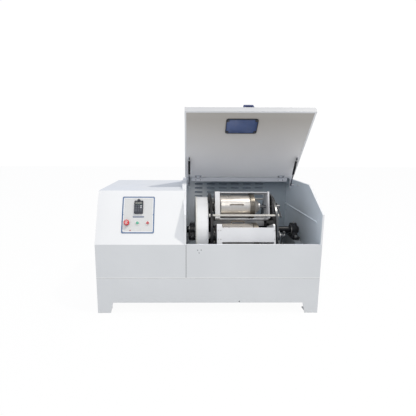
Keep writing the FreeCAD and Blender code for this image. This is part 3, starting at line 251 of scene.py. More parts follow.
outer_paint = dict(tone=0.025, tone_scale=3.0, grain=0.22, grain_scale=900.0, edge_amount=0.5)
inner_paint = dict(tone=0.05, tone_scale=2.5, grain=0.25, edge_amount=0.5)
cap_plastic = dict(tone=0.08, tone_scale=60.0, grain=0.12, coat=0.4)
print_film = dict(tone=0.06, tone_scale=40.0, grain=0.1, coat=0.2)
finishes = {
    # The cabinet paint's top colour is a painted shade: bluer and darker where faces look up
    "paint": material("cabinet_paint", (0.80, 0.81, 0.82), 0.42, edge=(0.90, 0.91, 0.92),
                      dust_and_top_shade=(0.50, 0.56, 0.68), coat=0.08, **outer_paint),
    # Darker copy of the cabinet paint for front faces: painted shade
    "front": material("front_sheet_painted_shade", (0.705, 0.72, 0.73), 0.44, edge=(0.88, 0.89, 0.90), coat=0.06,
                      **outer_paint),
    # Darker copy of the paint for the lid's front lip: painted shade
    "lip": material("lid_lip_painted_shade", (0.545, 0.555, 0.57), 0.42, edge=(0.75, 0.76, 0.77), **outer_paint),
    # Chamber's inner faces: a bluer copy of the paint that stands in for their cool shade
    "inside": material("chamber_painted_shade", (0.79, 0.86, 0.92), 0.45, edge=(0.78, 0.80, 0.82),
                       dust_and_top_shade=(0.60, 0.61, 0.61), **inner_paint),
    # Back wall: painted light on its left, fading to painted shade towards the right
    "back": material("back_wall_painted_light", (0.92, 0.94, 0.96), 0.5, edge=(0.60, 0.62, 0.65), painted_light_fade_axis="X",
                     painted_light_fade=(-0.08, 0.08, (0.35, 0.405, 0.455)), **inner_paint),
    # Rear top panel's front strip: darker paint, a painted shade under the lid
    "rear_strip_shade": material("rear_strip_painted_shade", (0.54, 0.56, 0.60), 0.5, edge=(0.66, 0.68, 0.70), **inner_paint),
    "louvre": material("louvre_shade", (0.22, 0.26, 0.31), 0.5, tone=0.08, tone_scale=12.0, grain=0.25,
                       edge=(0.50, 0.54, 0.58), edge_amount=0.5),
    "seam": material("sheet_seam", (0.20, 0.205, 0.205), 0.6, tone=0.08, tone_scale=30.0, grain=0.2),
    # Lighter than the paint: a painted highlight along the lapped edge
    "lap": material("sheet_lap_highlight", (0.90, 0.90, 0.88), 0.5, tone=0.03, tone_scale=30.0, grain=0.2),
    "fitting": material("painted_fitting", (0.62, 0.64, 0.69), 0.45, tone_scale=30.0, grain=0.25,
                        edge=(0.80, 0.81, 0.84)),
    "rod": material("strut_rod_steel", (0.060, 0.068, 0.105), 0.30, 0.45, tone=0.1, tone_scale=20.0,
                    grain=0.2, edge=(0.30, 0.32, 0.38)),
    "bolt": material("blackened_screw", (0.10, 0.105, 0.12), 0.42, 0.6, tone=0.12, tone_scale=40.0, grain=0.3,
                     edge=(0.35, 0.36, 0.38)),
    # Lid underside: brightened as painted light near the hinge, fading to painted shade towards the free edge
    "liner": material("lid_liner_painted_light", (0.96, 0.96, 0.98), 0.5, tone=0.04, tone_scale=1.6, grain=0.3,
                      grain_scale=500.0, second=(0.95, 0.95, 0.97), second_scale=1.2,
                      painted_light_fade=(0.90, 1.30, (0.48, 0.455, 0.42))),
    # Drum: painted light low down, fading to a darker painted shade towards the top
    "drum": material("drum_enamel_painted_shade", (0.98, 0.98, 0.985), 0.42, tone=0.03, tone_scale=9.0, grain=0.12,
                     edge=(0.55, 0.55, 0.54), edge_amount=0.4, coat=0.1, second=(0.90, 0.90, 0.90),
                     second_scale=4.0, painted_light_fade=(0.50, 0.70, (0.68, 0.69, 0.705))),
    "cream": material("drum_flange_paint", (0.66, 0.65, 0.61), 0.45, tone_scale=20.0, grain=0.2,
                      edge=(0.45, 0.44, 0.41)),
    "stand": material("stand_enamel", (0.30, 0.33, 0.36), 0.5, tone=0.08, grain=0.35, edge=(0.45, 0.46, 0.46),
                      dust_and_top_shade=(0.34, 0.33, 0.31)),
    "black": material("carrier_enamel", (0.011, 0.011, 0.013), 0.30, tone=0.3, tone_scale=12.0, grain=0.3,
                      edge=(0.16, 0.16, 0.17), coat=0.1, specular=0.3, second=(0.020, 0.020, 0.022),
                      second_scale=9.0),
    # Bare steel rim; its bright edge colour is wear and a painted highlight
    "disc_rim": material("carrier_rim", (0.10, 0.105, 0.11), 0.26, 0.7, tone=0.1, tone_scale=12.0, grain=0.2,
                         grain_scale=1200.0, edge=(0.7, 0.7, 0.7)),
    "shaft": material("shaft_steel", (0.013, 0.014, 0.017), 0.38, 0.05, tone=0.12, specular=0.25, grain=0.25,
                      stretch=round_x, grain_scale=1600.0, edge=(0.30, 0.30, 0.31)),
    "cage": material("cage_steel", (0.745, 0.75, 0.765), 0.42, 0.15, tone=0.03, tone_scale=8.0,
                     grain_scale=1400.0, edge=(0.95, 0.95, 0.93), edge_width=0.002),
    "jar": material("jar_stainless", (0.76, 0.72, 0.67), 0.30, 0.92, tone=0.04, tone_scale=14.0,
                    rough_spread=0.04, grain=0.08, stretch=round_x, grain_scale=1800.0,
                    edge=(0.92, 0.9, 0.87)),
    # Dark colour for the jar grips: painted shade round the loops
    "grip_painted_shade": material("jar_grip_steel", (0.20, 0.17, 0.14), 0.40, 0.6, tone=0.12, tone_scale=30.0,
                           grain=0.2, edge=(0.5, 0.46, 0.41)),
    "band": material("band_steel", (0.22, 0.20, 0.17), 0.36, 0.9, tone=0.15, tone_scale=20.0, grain=0.25,
                     stretch=round_x, grain_scale=1500.0, edge=(0.6, 0.58, 0.55)),
    "gear": material("gear_steel", (0.30, 0.29, 0.28), 0.35, 0.9, tone=0.12, tone_scale=20.0, grain=0.25,
                     edge=(0.7, 0.68, 0.64), second=(0.10, 0.08, 0.05), second_scale=18.0),
    "zinc": material("bright_zinc", (0.56, 0.56, 0.55), 0.38, 0.85, tone=0.08, tone_scale=40.0, grain=0.25,
                     grain_scale=1500.0, edge=(0.9, 0.9, 0.88)),
    "tie": material("tie_steel", (0.60, 0.585, 0.55), 0.5, 0.25, tone=0.08, tone_scale=30.0, grain=0.2,
                    grain_scale=1500.0, edge=(0.70, 0.70, 0.68)),
    "clamp": material("clamp_steel", (0.17, 0.175, 0.185), 0.34, 0.7, tone=0.1, tone_scale=30.0, grain=0.2,
                      grain_scale=1500.0, edge=(0.62, 0.62, 0.62)),
    "iron": material("pulley_iron", (0.07, 0.07, 0.075), 0.55, 0.7, tone=0.15, tone_scale=18.0, grain=0.5,
                     grain_scale=420.0, edge=(0.42, 0.41, 0.40)),
    "belt": material("belt_rubber", (0.018, 0.018, 0.018), 0.72, tone=0.2, tone_scale=40.0, grain=0.6,
                     grain_scale=900.0, specks=(0.06, 0.06, 0.06)),
    "seal": material("seal_rubber", (0.02, 0.022, 0.026), 0.65, tone=0.2, tone_scale=30.0, grain=0.4,
                     grain_scale=800.0),
    "motor": material("motor_enamel", (0.04, 0.11, 0.24), 0.42, tone=0.08, tone_scale=10.0, grain=0.4,
                      grain_scale=500.0, edge=(0.30, 0.36, 0.45), dust_and_top_shade=(0.2, 0.2, 0.2)),
    "dark": material("dark_plastic", (0.028, 0.032, 0.045), 0.5, tone=0.15, tone_scale=60.0, grain=0.5,
                     grain_scale=1800.0, edge=(0.10, 0.11, 0.13)),
    "grip": material("grip_plastic", (0.028, 0.045, 0.140), 0.42, tone=0.12, tone_scale=35.0, grain=0.45,
                     grain_scale=1500.0, edge=(0.08, 0.10, 0.26)),
    "plate": material("plate_print", (0.60, 0.61, 0.61), 0.34, tone=0.03, tone_scale=20.0, grain=0.1,
                      specks=(0.74, 0.74, 0.74), specks_scale=900.0, coat=0.2),
    "blue": material("border_print", (0.045, 0.12, 0.27), 0.32, **print_film),
    "blue_grey": material("blank_print", (0.13, 0.16, 0.24), 0.36, **print_film),
    "red": material("red_plastic", (0.62, 0.02, 0.03), 0.25, edge=(0.85, 0.12, 0.12), **cap_plastic),
    "dark_red": material("button_red", (0.42, 0.012, 0.03), 0.25, **cap_plastic),
    "green": material("button_green", (0.02, 0.34, 0.22), 0.25, **cap_plastic),
    "display": material("display_glass", (0.035, 0.042, 0.040), 0.16, tone=0.1, tone_scale=90.0, grain=0.05,
                        coat=0.6),
    "digit": material("digit_print", (0.40, 0.46, 0.43), 0.4, tone=0.2, tone_scale=90.0),
    "key": material("key_rubber", (0.11, 0.12, 0.14), 0.55, tone=0.12, tone_scale=120.0, grain=0.4,
                    grain_scale=1600.0, edge=(0.3, 0.31, 0.33)),
    "pale_key": material("pale_key_rubber", (0.55, 0.56, 0.58), 0.5, tone=0.06, tone_scale=120.0, grain=0.3,
                         grain_scale=1600.0),
    "pane": glass("window_acrylic", (0.12, 0.17, 0.34)),
    "floor": material("studio_floor", (0.90, 0.90, 0.90), 0.75, tone=0.008, tone_scale=0.7, grain=0.05,
                      grain_scale=40.0),
}

nodes_by_finish = {
    "paint": ["base_frame", "left_cover", "left_rear_panel", "chamber_front_panel", "chamber_left_wall",
              "chamber_right_wall", "chamber_back_wall", "rear_top_panel", "lid_pan"],
    "fitting": ["cabinet_fittings", "lid_fittings"],
    "pane": ["window_pane"],
    "seal": ["window_seal"],
    "grip": ["lid_handle"],
    "rod": ["strut_rod_left", "strut_rod_right"],
    "stand": ["machine_stands"],
    "drum": ["gear_drum"],
    "shaft": ["main_shaft"],
    "black": ["pillow_blocks", "left_carrier_disc", "right_carrier_disc", "planet_bearings",
              "strut_tube_left", "strut_tube_right"],
    "tie": ["tie_rods"],
    "zinc": ["bearing_inserts", "button_rings"] + ["clamp_pad_%d" % number for number in stations],
    "clamp": ["clamp_screw_%d" % number for number in stations],
    "cage": ["jar_cage_%d" % number for number in stations],
    "jar": ["jar_%d" % number for number in stations],
    "gear": ["sun_gear"] + ["planet_gear_%d" % number for number in stations],
    "iron": ["driven_pulley", "motor_pulley"],
    "belt": ["drive_belts"],
    "motor": ["motor"],
    "plate": ["control_plate"],
    "dark": ["inverter", "keypad", "keypad_knob"],
    "red": ["emergency_stop"],
    "green": ["green_button"],
    "dark_red": ["red_button"],
}
for finish, names in nodes_by_finish.items():
    for name in names:
        nodes[name].data.materials.clear()
        nodes[name].data.materials.append(finishes[finish])


# Shapes

# Added detail starts at this height, a little inside the surface that carries it
seat = -0.0002
crease_angle = math.radians(35)


def polar(radius, degrees):
    """Point on a circle about the origin."""
    angle = math.radians(degrees)
    return radius * math.cos(angle), radius * math.sin(angle)


def place(origin, normal, across):
    """Frame at origin with Z along normal and X as near as it can be to across."""
    z = Vector(normal).normalized()
    y = z.cross(Vector(across)).normalized()
    x = y.cross(z)
    return Matrix.Translation(origin) @ Matrix((x, y, z)).transposed().to_4x4()


def add_piece(name, mesh_maker, finish, body="root"):
    """Makes one piece with a finish, and rides it on a CAD body."""
    mesh = bpy.data.meshes.new(name)
    bm = bmesh.new()
    mesh_maker(bm)
    bmesh.ops.remove_doubles(bm, verts=bm.verts, dist=0.000002)
    bmesh.ops.recalc_face_normals(bm, faces=bm.faces)
    bm.to_mesh(mesh)
    bm.free()
    for face in mesh.polygons:
        face.use_smooth = True
    mesh.set_sharp_from_angle(angle=crease_angle)
    item = bpy.data.objects.new(name, mesh)
    bpy.context.scene.collection.objects.link(item)
    mesh.materials.append(finishes[finish])
    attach(item, body)


def many(maker, places, **sizes):
    """One mesh maker that repeats a shape at several places."""
    def make(bm):
        for matrix in places:
            maker(bm, matrix, **sizes)
    return make


def lathe(bm, matrix, profile, segments=32, hexagon=()):
    """Turns (radius, height) points about local Z. The points numbered in hexagon follow six flats."""
    loops = []
    for index, (radius, height) in enumerate(profile):
        if radius == 0:
            loops.append([bm.verts.new(matrix @ Vector((0, 0, height)))])
            continue
        loop = []
        for k in range(segments):
            angle = 2 * math.pi * k / segments
            reach = radius
            if index in hexagon:
                reach = radius * math.cos(math.pi / 6) / math.cos((angle % (math.pi / 3)) - math.pi / 6)
            point = Vector((reach * math.cos(angle), reach * math.sin(angle), height))
            loop.append(bm.verts.new(matrix @ point))
        loops.append(loop)
    for low, high in zip(loops, loops[1:]):
        for k in range(segments):
            after = k + 1
            corners = []
            ring = (low[k % len(low)], low[after % len(low)], high[after % len(high)], high[k % len(high)])
            for vertex in ring:
                if vertex not in corners:
                    corners.append(vertex)
            if len(corners) > 2:
                bm.faces.new(corners)


def skin(bm, loops, close_ends=True):
    """Joins loops of equal counts, and closes the first and the last."""
    count = len(loops[0])
    for low, high in zip(loops, loops[1:]):
        for k in range(count):
            bm.faces.new((low[k], low[(k + 1) % count], high[(k + 1) % count], high[k]))
    if close_ends:
        bm.faces.new(list(reversed(loops[0])))
        bm.faces.new(loops[-1])


def outline(width, height, corner, steps=5):
    """Rounded rectangle about the origin, as a list of points."""
    points = []
    for sx, sy, start in ((1, 1, 0), (-1, 1, 90), (-1, -1, 180), (1, -1, 270)):
        for k in range(steps + 1):
            x, y = polar(corner, start + 90 * k / steps)
            points.append((sx * (width / 2 - corner) + x, sy * (height / 2 - corner) + y))
    return points


def loft(bm, matrix, levels, close_ends=True):
    """Skin through outlines, each given with its height."""
    loops = [[bm.verts.new(matrix @ Vector((x, y, z))) for x, y in points] for points, z in levels]
    skin(bm, loops, close_ends)


def slab(bm, matrix, width, height, top, corner=0.002, soft=0.0004, bottom=seat):
    """Flat rounded plate with softened upper edges."""
    wide = outline(width, height, corner)
    narrow = outline(width - 2 * soft, height - 2 * soft, max(corner - soft, 0.0001))
    loft(bm, matrix, [(wide, bottom), (wide, top - soft), (narrow, top)])


def frame_ring(bm, matrix, width, height, band, top, corner, bottom=seat):
    """Closed rectangular band, open in the middle."""
    outer = outline(width, height, corner)
    inner = outline(width - 2 * band, height - 2 * band, max(corner - band, 0.0005))
    loft(bm, matrix, [(outer, bottom), (outer, top), (inner, top), (inner, bottom), (outer, bottom)], False)


def screw(bm, matrix, radius):
    """Button head with a hexagon socket."""
    height = radius * 0.55
    lathe(bm, matrix, [(0, 0), (radius, 0), (radius, height * 0.3), (radius * 0.86, height * 0.75),
                       (radius * 0.58, height), (radius * 0.5, height), (radius * 0.46, height * 0.35),
                       (0, height * 0.3)], 24, hexagon=(5, 6))


def flat_screw(bm, matrix, radius):
    """Countersunk head level with the sheet, with a hexagon socket."""
    lathe(bm, matrix, [(0, -0.0012), (radius * 0.8, -0.0012), (radius, -0.0001), (radius, 0.00005),
                       (radius * 0.52, 0.00009), (radius * 0.46, 0.00006), (radius * 0.42, -0.0008),
                       (0, -0.0009)], 24, hexagon=(5, 6))


def add_screws(name, places, radius, finish="bolt", body="root", head=screw):
    add_piece(name, many(head, places, radius=radius), finish, body)


def tube(bm, points, radius, segments=12, closed=False):
    """Round wire through points."""
    count = len(points)
    loops = []
    side = None
    for k, point in enumerate(points):
        before = points[k - 1] if k or closed else point
        after = points[(k + 1) % count] if k < count - 1 or closed else point
        way = (Vector(after) - Vector(before)).normalized()
        side = way.orthogonal().normalized() if side is None else (side - way * side.dot(way)).normalized()
        other = way.cross(side)
        turns = [2 * math.pi * n / segments for n in range(segments)]
        loops.append([bm.verts.new(Vector(point) + (side * math.cos(a) + other * math.sin(a)) * radius)
                      for a in turns])
    skin(bm, loops + loops[:1] if closed else loops, not closed)


def opened(point):
    """A point of the closed lid, turned to the open pose."""
    hinge = Vector((0, hinge_y, hinge_z))
    return hinge + opened_way(Vector(point) - hinge)


def opened_way(way):
    return Matrix.Rotation(-lid_angle, 3, "X") @ Vector(way)


def under_lid(x, y, z):
    """Frame on the lid's chamber side, given in the closed pose."""
    return place(opened((x, y, z)), opened_way(to_floor), to_right)


def slope_place(x, up, out):
    """Frame on the sloping face, x measured from the split."""
    normal = Vector((0, -math.sin(slope_angle), math.cos(slope_angle)))
    way = Vector((0, math.cos(slope_angle), math.sin(slope_angle)))
    origin = Vector((split + x, front, front_height)) + way * up + normal * out
    return place(origin, normal, to_right)


def along_shaft(x, way=to_right):
    """Frame on the main shaft's line, with heights along it."""
    return place((x, axis_y, axis_z), way, to_rear)


# Faces of the CAD nodes with a finish of their own

def faces_where(name, finish, test):
    """Gives some faces of a CAD node another finish."""
    mesh = nodes[name].data
    mesh.materials.append(finishes[finish])
    index = len(mesh.materials) - 1
    for face in mesh.polygons:
        if test(face.center, face.normal):
            face.material_index = index


def in_chamber(name, way):
    """Test for the faces of a wall that the open lid shows, with the right wall's rib."""
    def test(centre, normal):
        on_side = normal.dot(Vector(way)) > 0.5 and centre.z < cheek_top - 0.001
        return on_side or name == "chamber_right_wall" and centre.x < wall_right + 0.001
    return test


# Inner faces of the chamber walls take the bluer painted shade, the back wall its painted light fade
for name, finish, way in (("chamber_left_wall", "inside", to_right),
                          ("chamber_right_wall", "inside", to_left),
                          ("chamber_back_wall", "back", to_front),
                          ("chamber_front_panel", "inside", to_rear)):
    faces_where(name, finish, in_chamber(name, way))
# The rear top panel's front-facing strip gets painted shade
faces_where("rear_top_panel", "rear_strip_shade", lambda centre, normal: normal.y < -0.5)
# Faces looking to the front get the darker paint, a painted shade on the front
for name in ("base_frame", "left_cover", "chamber_front_panel"):
    faces_where(name, "front", lambda centre, normal: normal.y < -0.98 and centre.y < front + 0.004)

lid_down, lid_front = opened_way(to_floor), opened_way(to_front)
rim_level = opened((0, 0, lid_bottom)).dot(lid_down)
# Lid underside faces take the liner, with its painted light and shade
faces_where("lid_pan", "liner",
            lambda centre, normal: normal.dot(lid_down) > 0.9 and centre.dot(lid_down) < rim_level - 0.0008)
# The lid's front lip gets painted shade
faces_where("lid_pan", "lip", lambda centre, normal: normal.dot(lid_front) > 0.9)

jar_radius = 0.085
jar_start = split + 0.248
jar_grip_middle = jar_start + 0.124
flange_start, flange_end = split + 0.473, split + 0.506
jar_seal_start, jar_seal_end = split + 0.487, split + 0.492
# Grip faces on each jar get the dark painted shade
for number, (planet_y, planet_z) in zip(stations, planets):
    faces_where("jar_%d" % number, "grip_painted_shade", lambda centre, normal: centre.x < split + 0.44
                and math.hypot(centre.y - planet_y, centre.z - planet_z) > jar_radius + 0.0015)
    faces_where("jar_%d" % number, "seal",
                lambda centre, normal: jar_seal_start + 0.0003 < centre.x < jar_seal_end - 0.0003)

# The right disc's rim faces get bare steel with a painted highlight on its edges
disc_low, disc_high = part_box("right_carrier_disc")
disc_edge = ((disc_high.z - disc_low.z) / 2 - 0.002) * 0.985
faces_where("right_carrier_disc", "disc_rim", lambda centre, normal: abs(normal.x) < 0.5
            and math.hypot(centre.y - axis_y, centre.z - axis_z) > disc_edge)


# Operator panel

plate_x, plate_up, plate_width, plate_height = -0.3225, 0.203, 0.219, 0.256
plate_top, keypad_top = 0.002, 0.011
keypad_x, display_up = -0.3205, 0.283
stop_x, stop_up, stop_cap = -0.396, 0.146, 0.0254


def plate_border(bm):
    """Printed band round the plate, with a dot at the middle of both sides."""
    frame_ring(bm, slope_place(plate_x, plate_up, plate_top), plate_width - 0.001, plate_height - 0.001,
               band=0.0080, top=0.0003, corner=0.0110, bottom=-0.0001)
    for side in (-1, 1):
        middle = slope_place(plate_x + side * (plate_width / 2 - 0.0075), plate_up, plate_top)
        lathe(bm, middle, [(0, 0), (0.0042, 0), (0.0042, 0.0003), (0, 0.0003)], 24)


def plate_line(bm):
    """Fine pale line inside the border."""
    frame_ring(bm, slope_place(plate_x, plate_up, plate_top), plate_width - 0.0175, plate_height - 0.0175,
               band=0.0050, top=0.00025, corner=0.0050, bottom=-0.0001)


def screen(bm):
    slab(bm, slope_place(keypad_x, display_up, keypad_top), 0.047, 0.016, top=0.0006, corner=0.0015)


def bezel(bm):
    """Frames round the display and round the keypad's face."""
    frame_ring(bm, slope_place(keypad_x, display_up, keypad_top), 0.051, 0.020, band=0.0018, top=0.0011,
               corner=0.0025)
    frame_ring(bm, slope_place(keypad_x, 0.2545, keypad_top), 0.056, 0.088, band=0.0012, top=0.0005,
               corner=0.0045)


# Strokes of a figure: across and up from its middle, and whether the stroke lies flat
strokes = {"top": (0, 1, True), "middle": (0, 0, True), "bottom": (0, -1, True),
           "upper_left": (-1, 0.5, False), "upper_right": (1, 0.5, False),
           "lower_left": (-1, -0.5, False), "lower_right": (1, -0.5, False)}
display_number = (("top", "bottom", "middle", "upper_right", "lower_left"),
                  ("top", "bottom", "middle", "upper_left", "lower_right"),
                  ("top", "bottom", "upper_left", "upper_right", "lower_right", "lower_left"))


def figures(bm):
    """The figures 2, 5 and 0 on the display."""
    rise, half_width, length, thickness = 0.0044, 0.0021, 0.0036, 0.0007
    for index, names in enumerate(display_number):
        for name in names:
            across, up, flat = strokes[name]
            matrix = slope_place(keypad_x - 0.012 + index * 0.0095 + across * half_width,
                                 display_up + up * rise, keypad_top + 0.0006)
            width, height = (length, thickness) if flat else (thickness, length)
            slab(bm, matrix, width, height, top=0.0002, corner=0.0003, soft=0.0001, bottom=-0.0001)


def keys(pale):
    """Four rows of three keys. The upper two on the right are pale."""
    places = [slope_place(keypad_x - 0.016 + column * 0.016, 0.262 - row * 0.0115, keypad_top)
              for row in range(4) for column in range(3) if (column == 2 and row < 2) == pale]
    return many(slab, places, width=0.0115, height=0.0070, top=0.0016, soft=0.0006)


def lamps(bm):
    """Four small domes in a row under the display."""
    for k in range(4):
        lathe(bm, slope_place(keypad_x - 0.018 + k * 0.012, 0.2715, keypad_top),
              [(0, -0.0001), (0.0013, -0.0001), (0.0013, 0.0005), (0.0007, 0.0011), (0, 0.0012)], 12)


def plate_lamp(bm):
    lathe(bm, slope_place(-0.372, 0.096, plate_top),
          [(0, 0), (0.0042, 0), (0.0042, 0.001), (0.0030, 0.0018), (0.0022, 0.003), (0, 0.0036)], 20)


def blank_strip(bm):
    """Plain raised strip under the keypad."""
    slab(bm, slope_place(keypad_x, 0.188, plate_top), 0.076, 0.010, top=0.0004, soft=0.0002, bottom=-0.0001)


def arrows(bm):
    """Two turning arcs and a pale middle disc, raised on the stop button's cap; the disc is a painted
    highlight on the cap's crown.
    """
    matrix = slope_place(stop_x, stop_up, stop_cap)
    for start in (20, 200):
        points = [matrix @ Vector((*polar(0.0105, start + turn), 0)) for turn in range(0, 121, 12)]
        tube(bm, points, 0.0016, 8)
    lathe(bm, matrix, [(0, -0.0006), (0.0048, -0.0006), (0.0048, 0.0002), (0.0040, 0.0007), (0, 0.0008)], 24)


plate_corners = [slope_place(plate_x + sx * 0.097, plate_up + sy * 0.1155, plate_top)
                 for sx in (-1, 1) for sy in (-1, 1)]
add_piece("plate_border", plate_border, "blue")
add_piece("plate_inner_line", plate_line, "paint")
add_piece("keypad_display", screen, "display")
add_piece("keypad_bezel", bezel, "dark")
add_piece("display_figures", figures, "digit")
add_piece("keypad_keys", keys(False), "key")
add_piece("keypad_pale_keys", keys(True), "pale_key")
add_piece("keypad_lamps", lamps, "green")
add_screws("plate_screws", plate_corners, 0.0028, "zinc")
add_piece("plate_lamp", plate_lamp, "dark_red")
add_piece("blank_strip", blank_strip, "blue_grey")
add_piece("stop_arrows", arrows, "plate", "stop_button")


# Window: pads with screws at the corners and a band round the pane, on the chamber side

window_left, window_right = split + 0.281, split + 0.508
window_rear = lid_rear - 0.480
window_front = window_rear - 0.128
pane_face = lid_bottom + lid_skin - 0.002 - 0.004
window_corners = [(x, y) for x in (window_left + 0.012, window_right - 0.012)
                  for y in (window_front + 0.012, window_rear - 0.012)]


def window_band(bm):
    """Rubber round the pane's edge."""
    matrix = under_lid((window_left + window_right) / 2, (window_front + window_rear) / 2, pane_face)
    width, length = window_right - window_left + 0.0012, window_rear - window_front + 0.0012
    frame_ring(bm, matrix, width, length, band=0.0042, top=0.0012, corner=0.0165, bottom=-0.0038)


pads = many(slab, [under_lid(x, y, pane_face) for x, y in window_corners], width=0.022, height=0.022,
            top=0.0022, corner=0.007, soft=0.0006, bottom=-0.0001)
pad_screws = [under_lid(x, y, pane_face - 0.0021) for x, y in window_corners]
add_piece("window_corner_pads", pads, "seal", "lid")
add_screws("window_screws", pad_screws, 0.0052, body="lid")
add_piece("window_edge_band", window_band, "seal", "lid")


# Hinges: screws on both leaves and dark strips under the knuckles, painted shadow in the gap

leaf_face = lid_bottom - 0.002
hinge_starts = (split + hinge_inset, wall_right - hinge_inset - hinge_width)
hinge_screw_x = [x + hinge_width * share for x in hinge_starts for share in (0.17, 0.83)]
lid_leaf_screws = [under_lid(x, lid_rear - 0.014, leaf_face) for x in hinge_screw_x]
wall_leaf_screws = [place((x, rear - 0.143 - 0.002, hinge_z - 0.016), to_front, to_right)
                    for x in hinge_screw_x]
# Dark strips under the knuckles stand in for the shadow in the hinge gap
hinge_shadow_places = [under_lid(x + hinge_width / 2, lid_rear - 0.0022, leaf_face) for x in hinge_starts]
hinge_painted_shadows = many(slab, hinge_shadow_places, width=0.056, height=0.0040, top=0.0004, corner=0.0018, soft=0.0001,
                  bottom=-0.0001)
add_screws("lid_hinge_screws", lid_leaf_screws, 0.0042, body="lid")
add_screws("frame_hinge_screws", wall_leaf_screws, 0.0042)
add_piece("hinge_painted_shadows", hinge_painted_shadows, "seal", "lid")


# Screws of the sheets

front_screws = [place((x, front, z), to_front, to_right)
                for x, z in ((-0.0735, 0.447), (-0.0505, 0.447), (-0.0635, 0.428))]
base_screws = [place((0.213, front, 0.084), to_front, to_right)]
cheek_screws = [place((wall_right, y, z), to_left, to_rear)
                for y, z in ((0.118, 0.815), (0.098, 0.815), (0.395, 0.30), (0.395, 0.56), (0.395, 0.79),
                             (-0.39, 0.30), (-0.39, 0.45))]
side_screws = [place((x, y, z), way, to_rear) for x, way in ((right, to_right), (left, to_left))
               for y in (-0.33, 0.0, 0.33) for z in (0.262, 0.235)]
rear_spots = [(x, z) for x in (-0.735, -0.45, -0.175) for z in (0.262, 0.53, 0.806)]
rear_spots += [(x, z) for x in (-0.14, 0.29, 0.737) for z in (0.262, 0.55, 0.835)]
rear_spots += [(x, 0.235) for x in (-0.60, -0.20, 0.20, 0.60)]
rear_screws = [place((x, rear, z), to_rear, to_right) for x, z in rear_spots]
add_screws("front_panel_screws", front_screws, 0.0036, head=flat_screw)
add_screws("base_front_screw", base_screws, 0.0045, head=flat_screw)
add_screws("cheek_screws", cheek_screws, 0.0045, "zinc")
add_screws("outer_panel_screws", side_screws + rear_screws, 0.0045, head=flat_screw)


# Seams where the bent sheets meet the plinth and each other, as hairlines in the paint, with a lighter lap
# line above that is a painted highlight

hairline = dict(top=0.00008, corner=0.0004, soft=0.00002)


def strip_round(z, height):
    """Level strip on all four sides of the cabinet."""
    def make(bm):
        for y, way in ((front, to_front), (rear, to_rear)):
            slab(bm, place((0, y, z), way, to_right), right - left - 0.002, height, **hairline)
        for x, way in ((left, to_left), (right, to_right)):
            slab(bm, place((x, 0, z), way, to_rear), rear - front - 0.002, height, **hairline)
    return make


def split_seam(bm):
    """Upright seam between the hood and the chamber's front sheet."""
    middle = (split, front, (seam_height + front_height) / 2 + 0.001)
    slab(bm, place(middle, to_front, to_right), 0.0034, front_height - seam_height - 0.006, **hairline)


def front_lip(bm):
    """Folded lip along the top of the chamber's front sheet."""
    matrix = place(((split + wall_right) / 2, front + 0.0095, front_height), to_top, to_right)
    slab(bm, matrix, wall_right - split - 0.002, 0.0165, top=0.0001, corner=0.0012, soft=0.0003,
         bottom=-0.0016)


add_piece("base_lap_highlight", strip_round(seam_height + 0.0026, 0.0044), "lap")
add_piece("base_seam", strip_round(seam_height - 0.0002, 0.0009), "seam")
add_piece("split_seam", split_seam, "seam")
add_piece("front_lip", front_lip, "paint")


# Louvres pressed inward over the cooling slots, open below, coloured dark as painted shade in the slots

slot_length, slot_pitch_x, slot_pitch_z, slot_top_row = 0.062, 0.107, 0.036, 0.788

# The lip's section, as depth from the sheet and height
lip_outside = [(0.0, 0.0064), (0.0034, 0.0060), (0.0068, 0.0038), (0.0090, 0.0002), (0.0099, -0.0050)]
lip_inside = [(0.0, 0.0055), (0.0030, 0.0051), (0.0061, 0.0031), (0.0081, -0.0002), (0.0090, -0.0050)]


def louvre(bm, x, z):
    """Bent lip over one slot, with a thin cheek at each end."""
    start, end = x - 0.003, x + slot_length + 0.003
    lip, cheek = lip_outside + lip_inside[::-1], lip_inside + [(0.0, -0.0050)]
    for points, low, high in ((lip, start, end), (cheek, start + 0.0001, start + 0.0010),
                              (cheek, end - 0.0010, end - 0.0001)):
        skin(bm, [[bm.verts.new((across, rear - sheet - depth, z + up)) for depth, up in points]
                  for across in (low, high)])


def louvres(x_start, columns, rows):
    def make(bm):
        for column in range(columns):
            for row in range(rows):
                louvre(bm, x_start + column * slot_pitch_x, slot_top_row - row * slot_pitch_z)
    return make


cover_start = (left + split - cheek_thickness - 3 * slot_pitch_x - slot_length) / 2
add_piece("back_louvres", louvres(split + 0.074, 6, 4), "louvre")
add_piece("cover_louvres", louvres(cover_start, 4, 6), "louvre")


# Guard drum: rivets round both rims, a rolled outer edge and a lap joint

drum_low, drum_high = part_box("gear_drum")
drum_radius = (drum_high.z - drum_low.z) / 2


def drum_rivets(bm):
    for x in (drum_low.x + 0.010, drum_high.x - 0.010):
        for k in range(16):
            way = Vector((0, *polar(1, 22.5 * k + 9)))
            origin = Vector((x, axis_y, axis_z)) + way * drum_radius
            lathe(bm, place(origin, way, to_right),
                  [(0, seat), (0.0036, seat), (0.0036, 0.0006), (0.0022, 0.0017), (0, 0.002)], 14)


def drum_flange(bm):
    """Rolled edge on the drum's outer side."""
    profile = [(-0.016, seat), (0.0004, seat), (0.0040, 0.0020), (0.0046, 0.0060), (0.0026, 0.0090),
               (-0.0040, 0.0100), (-0.0160, 0.0080), (-0.0160, seat)]
    profile = [(drum_radius + past, height) for past, height in profile]
    lathe(bm, along_shaft(drum_low.x, to_left), profile, 96)


def drum_seam(bm):
    """Lap joint across the drum's rim, facing the front and a little up."""
    section = []
    for angle, lift in ((146, 0.0), (146, 0.0012), (150, 0.0013), (154, 0.0012), (154, 0.0)):
        y, z = polar(drum_radius - 0.0002 + lift, angle)
        section.append((axis_y + y, axis_z + z))
    skin(bm, [[bm.verts.new((x, y, z)) for y, z in section]
              for x in (drum_low.x + 0.0005, drum_high.x - 0.0005)])


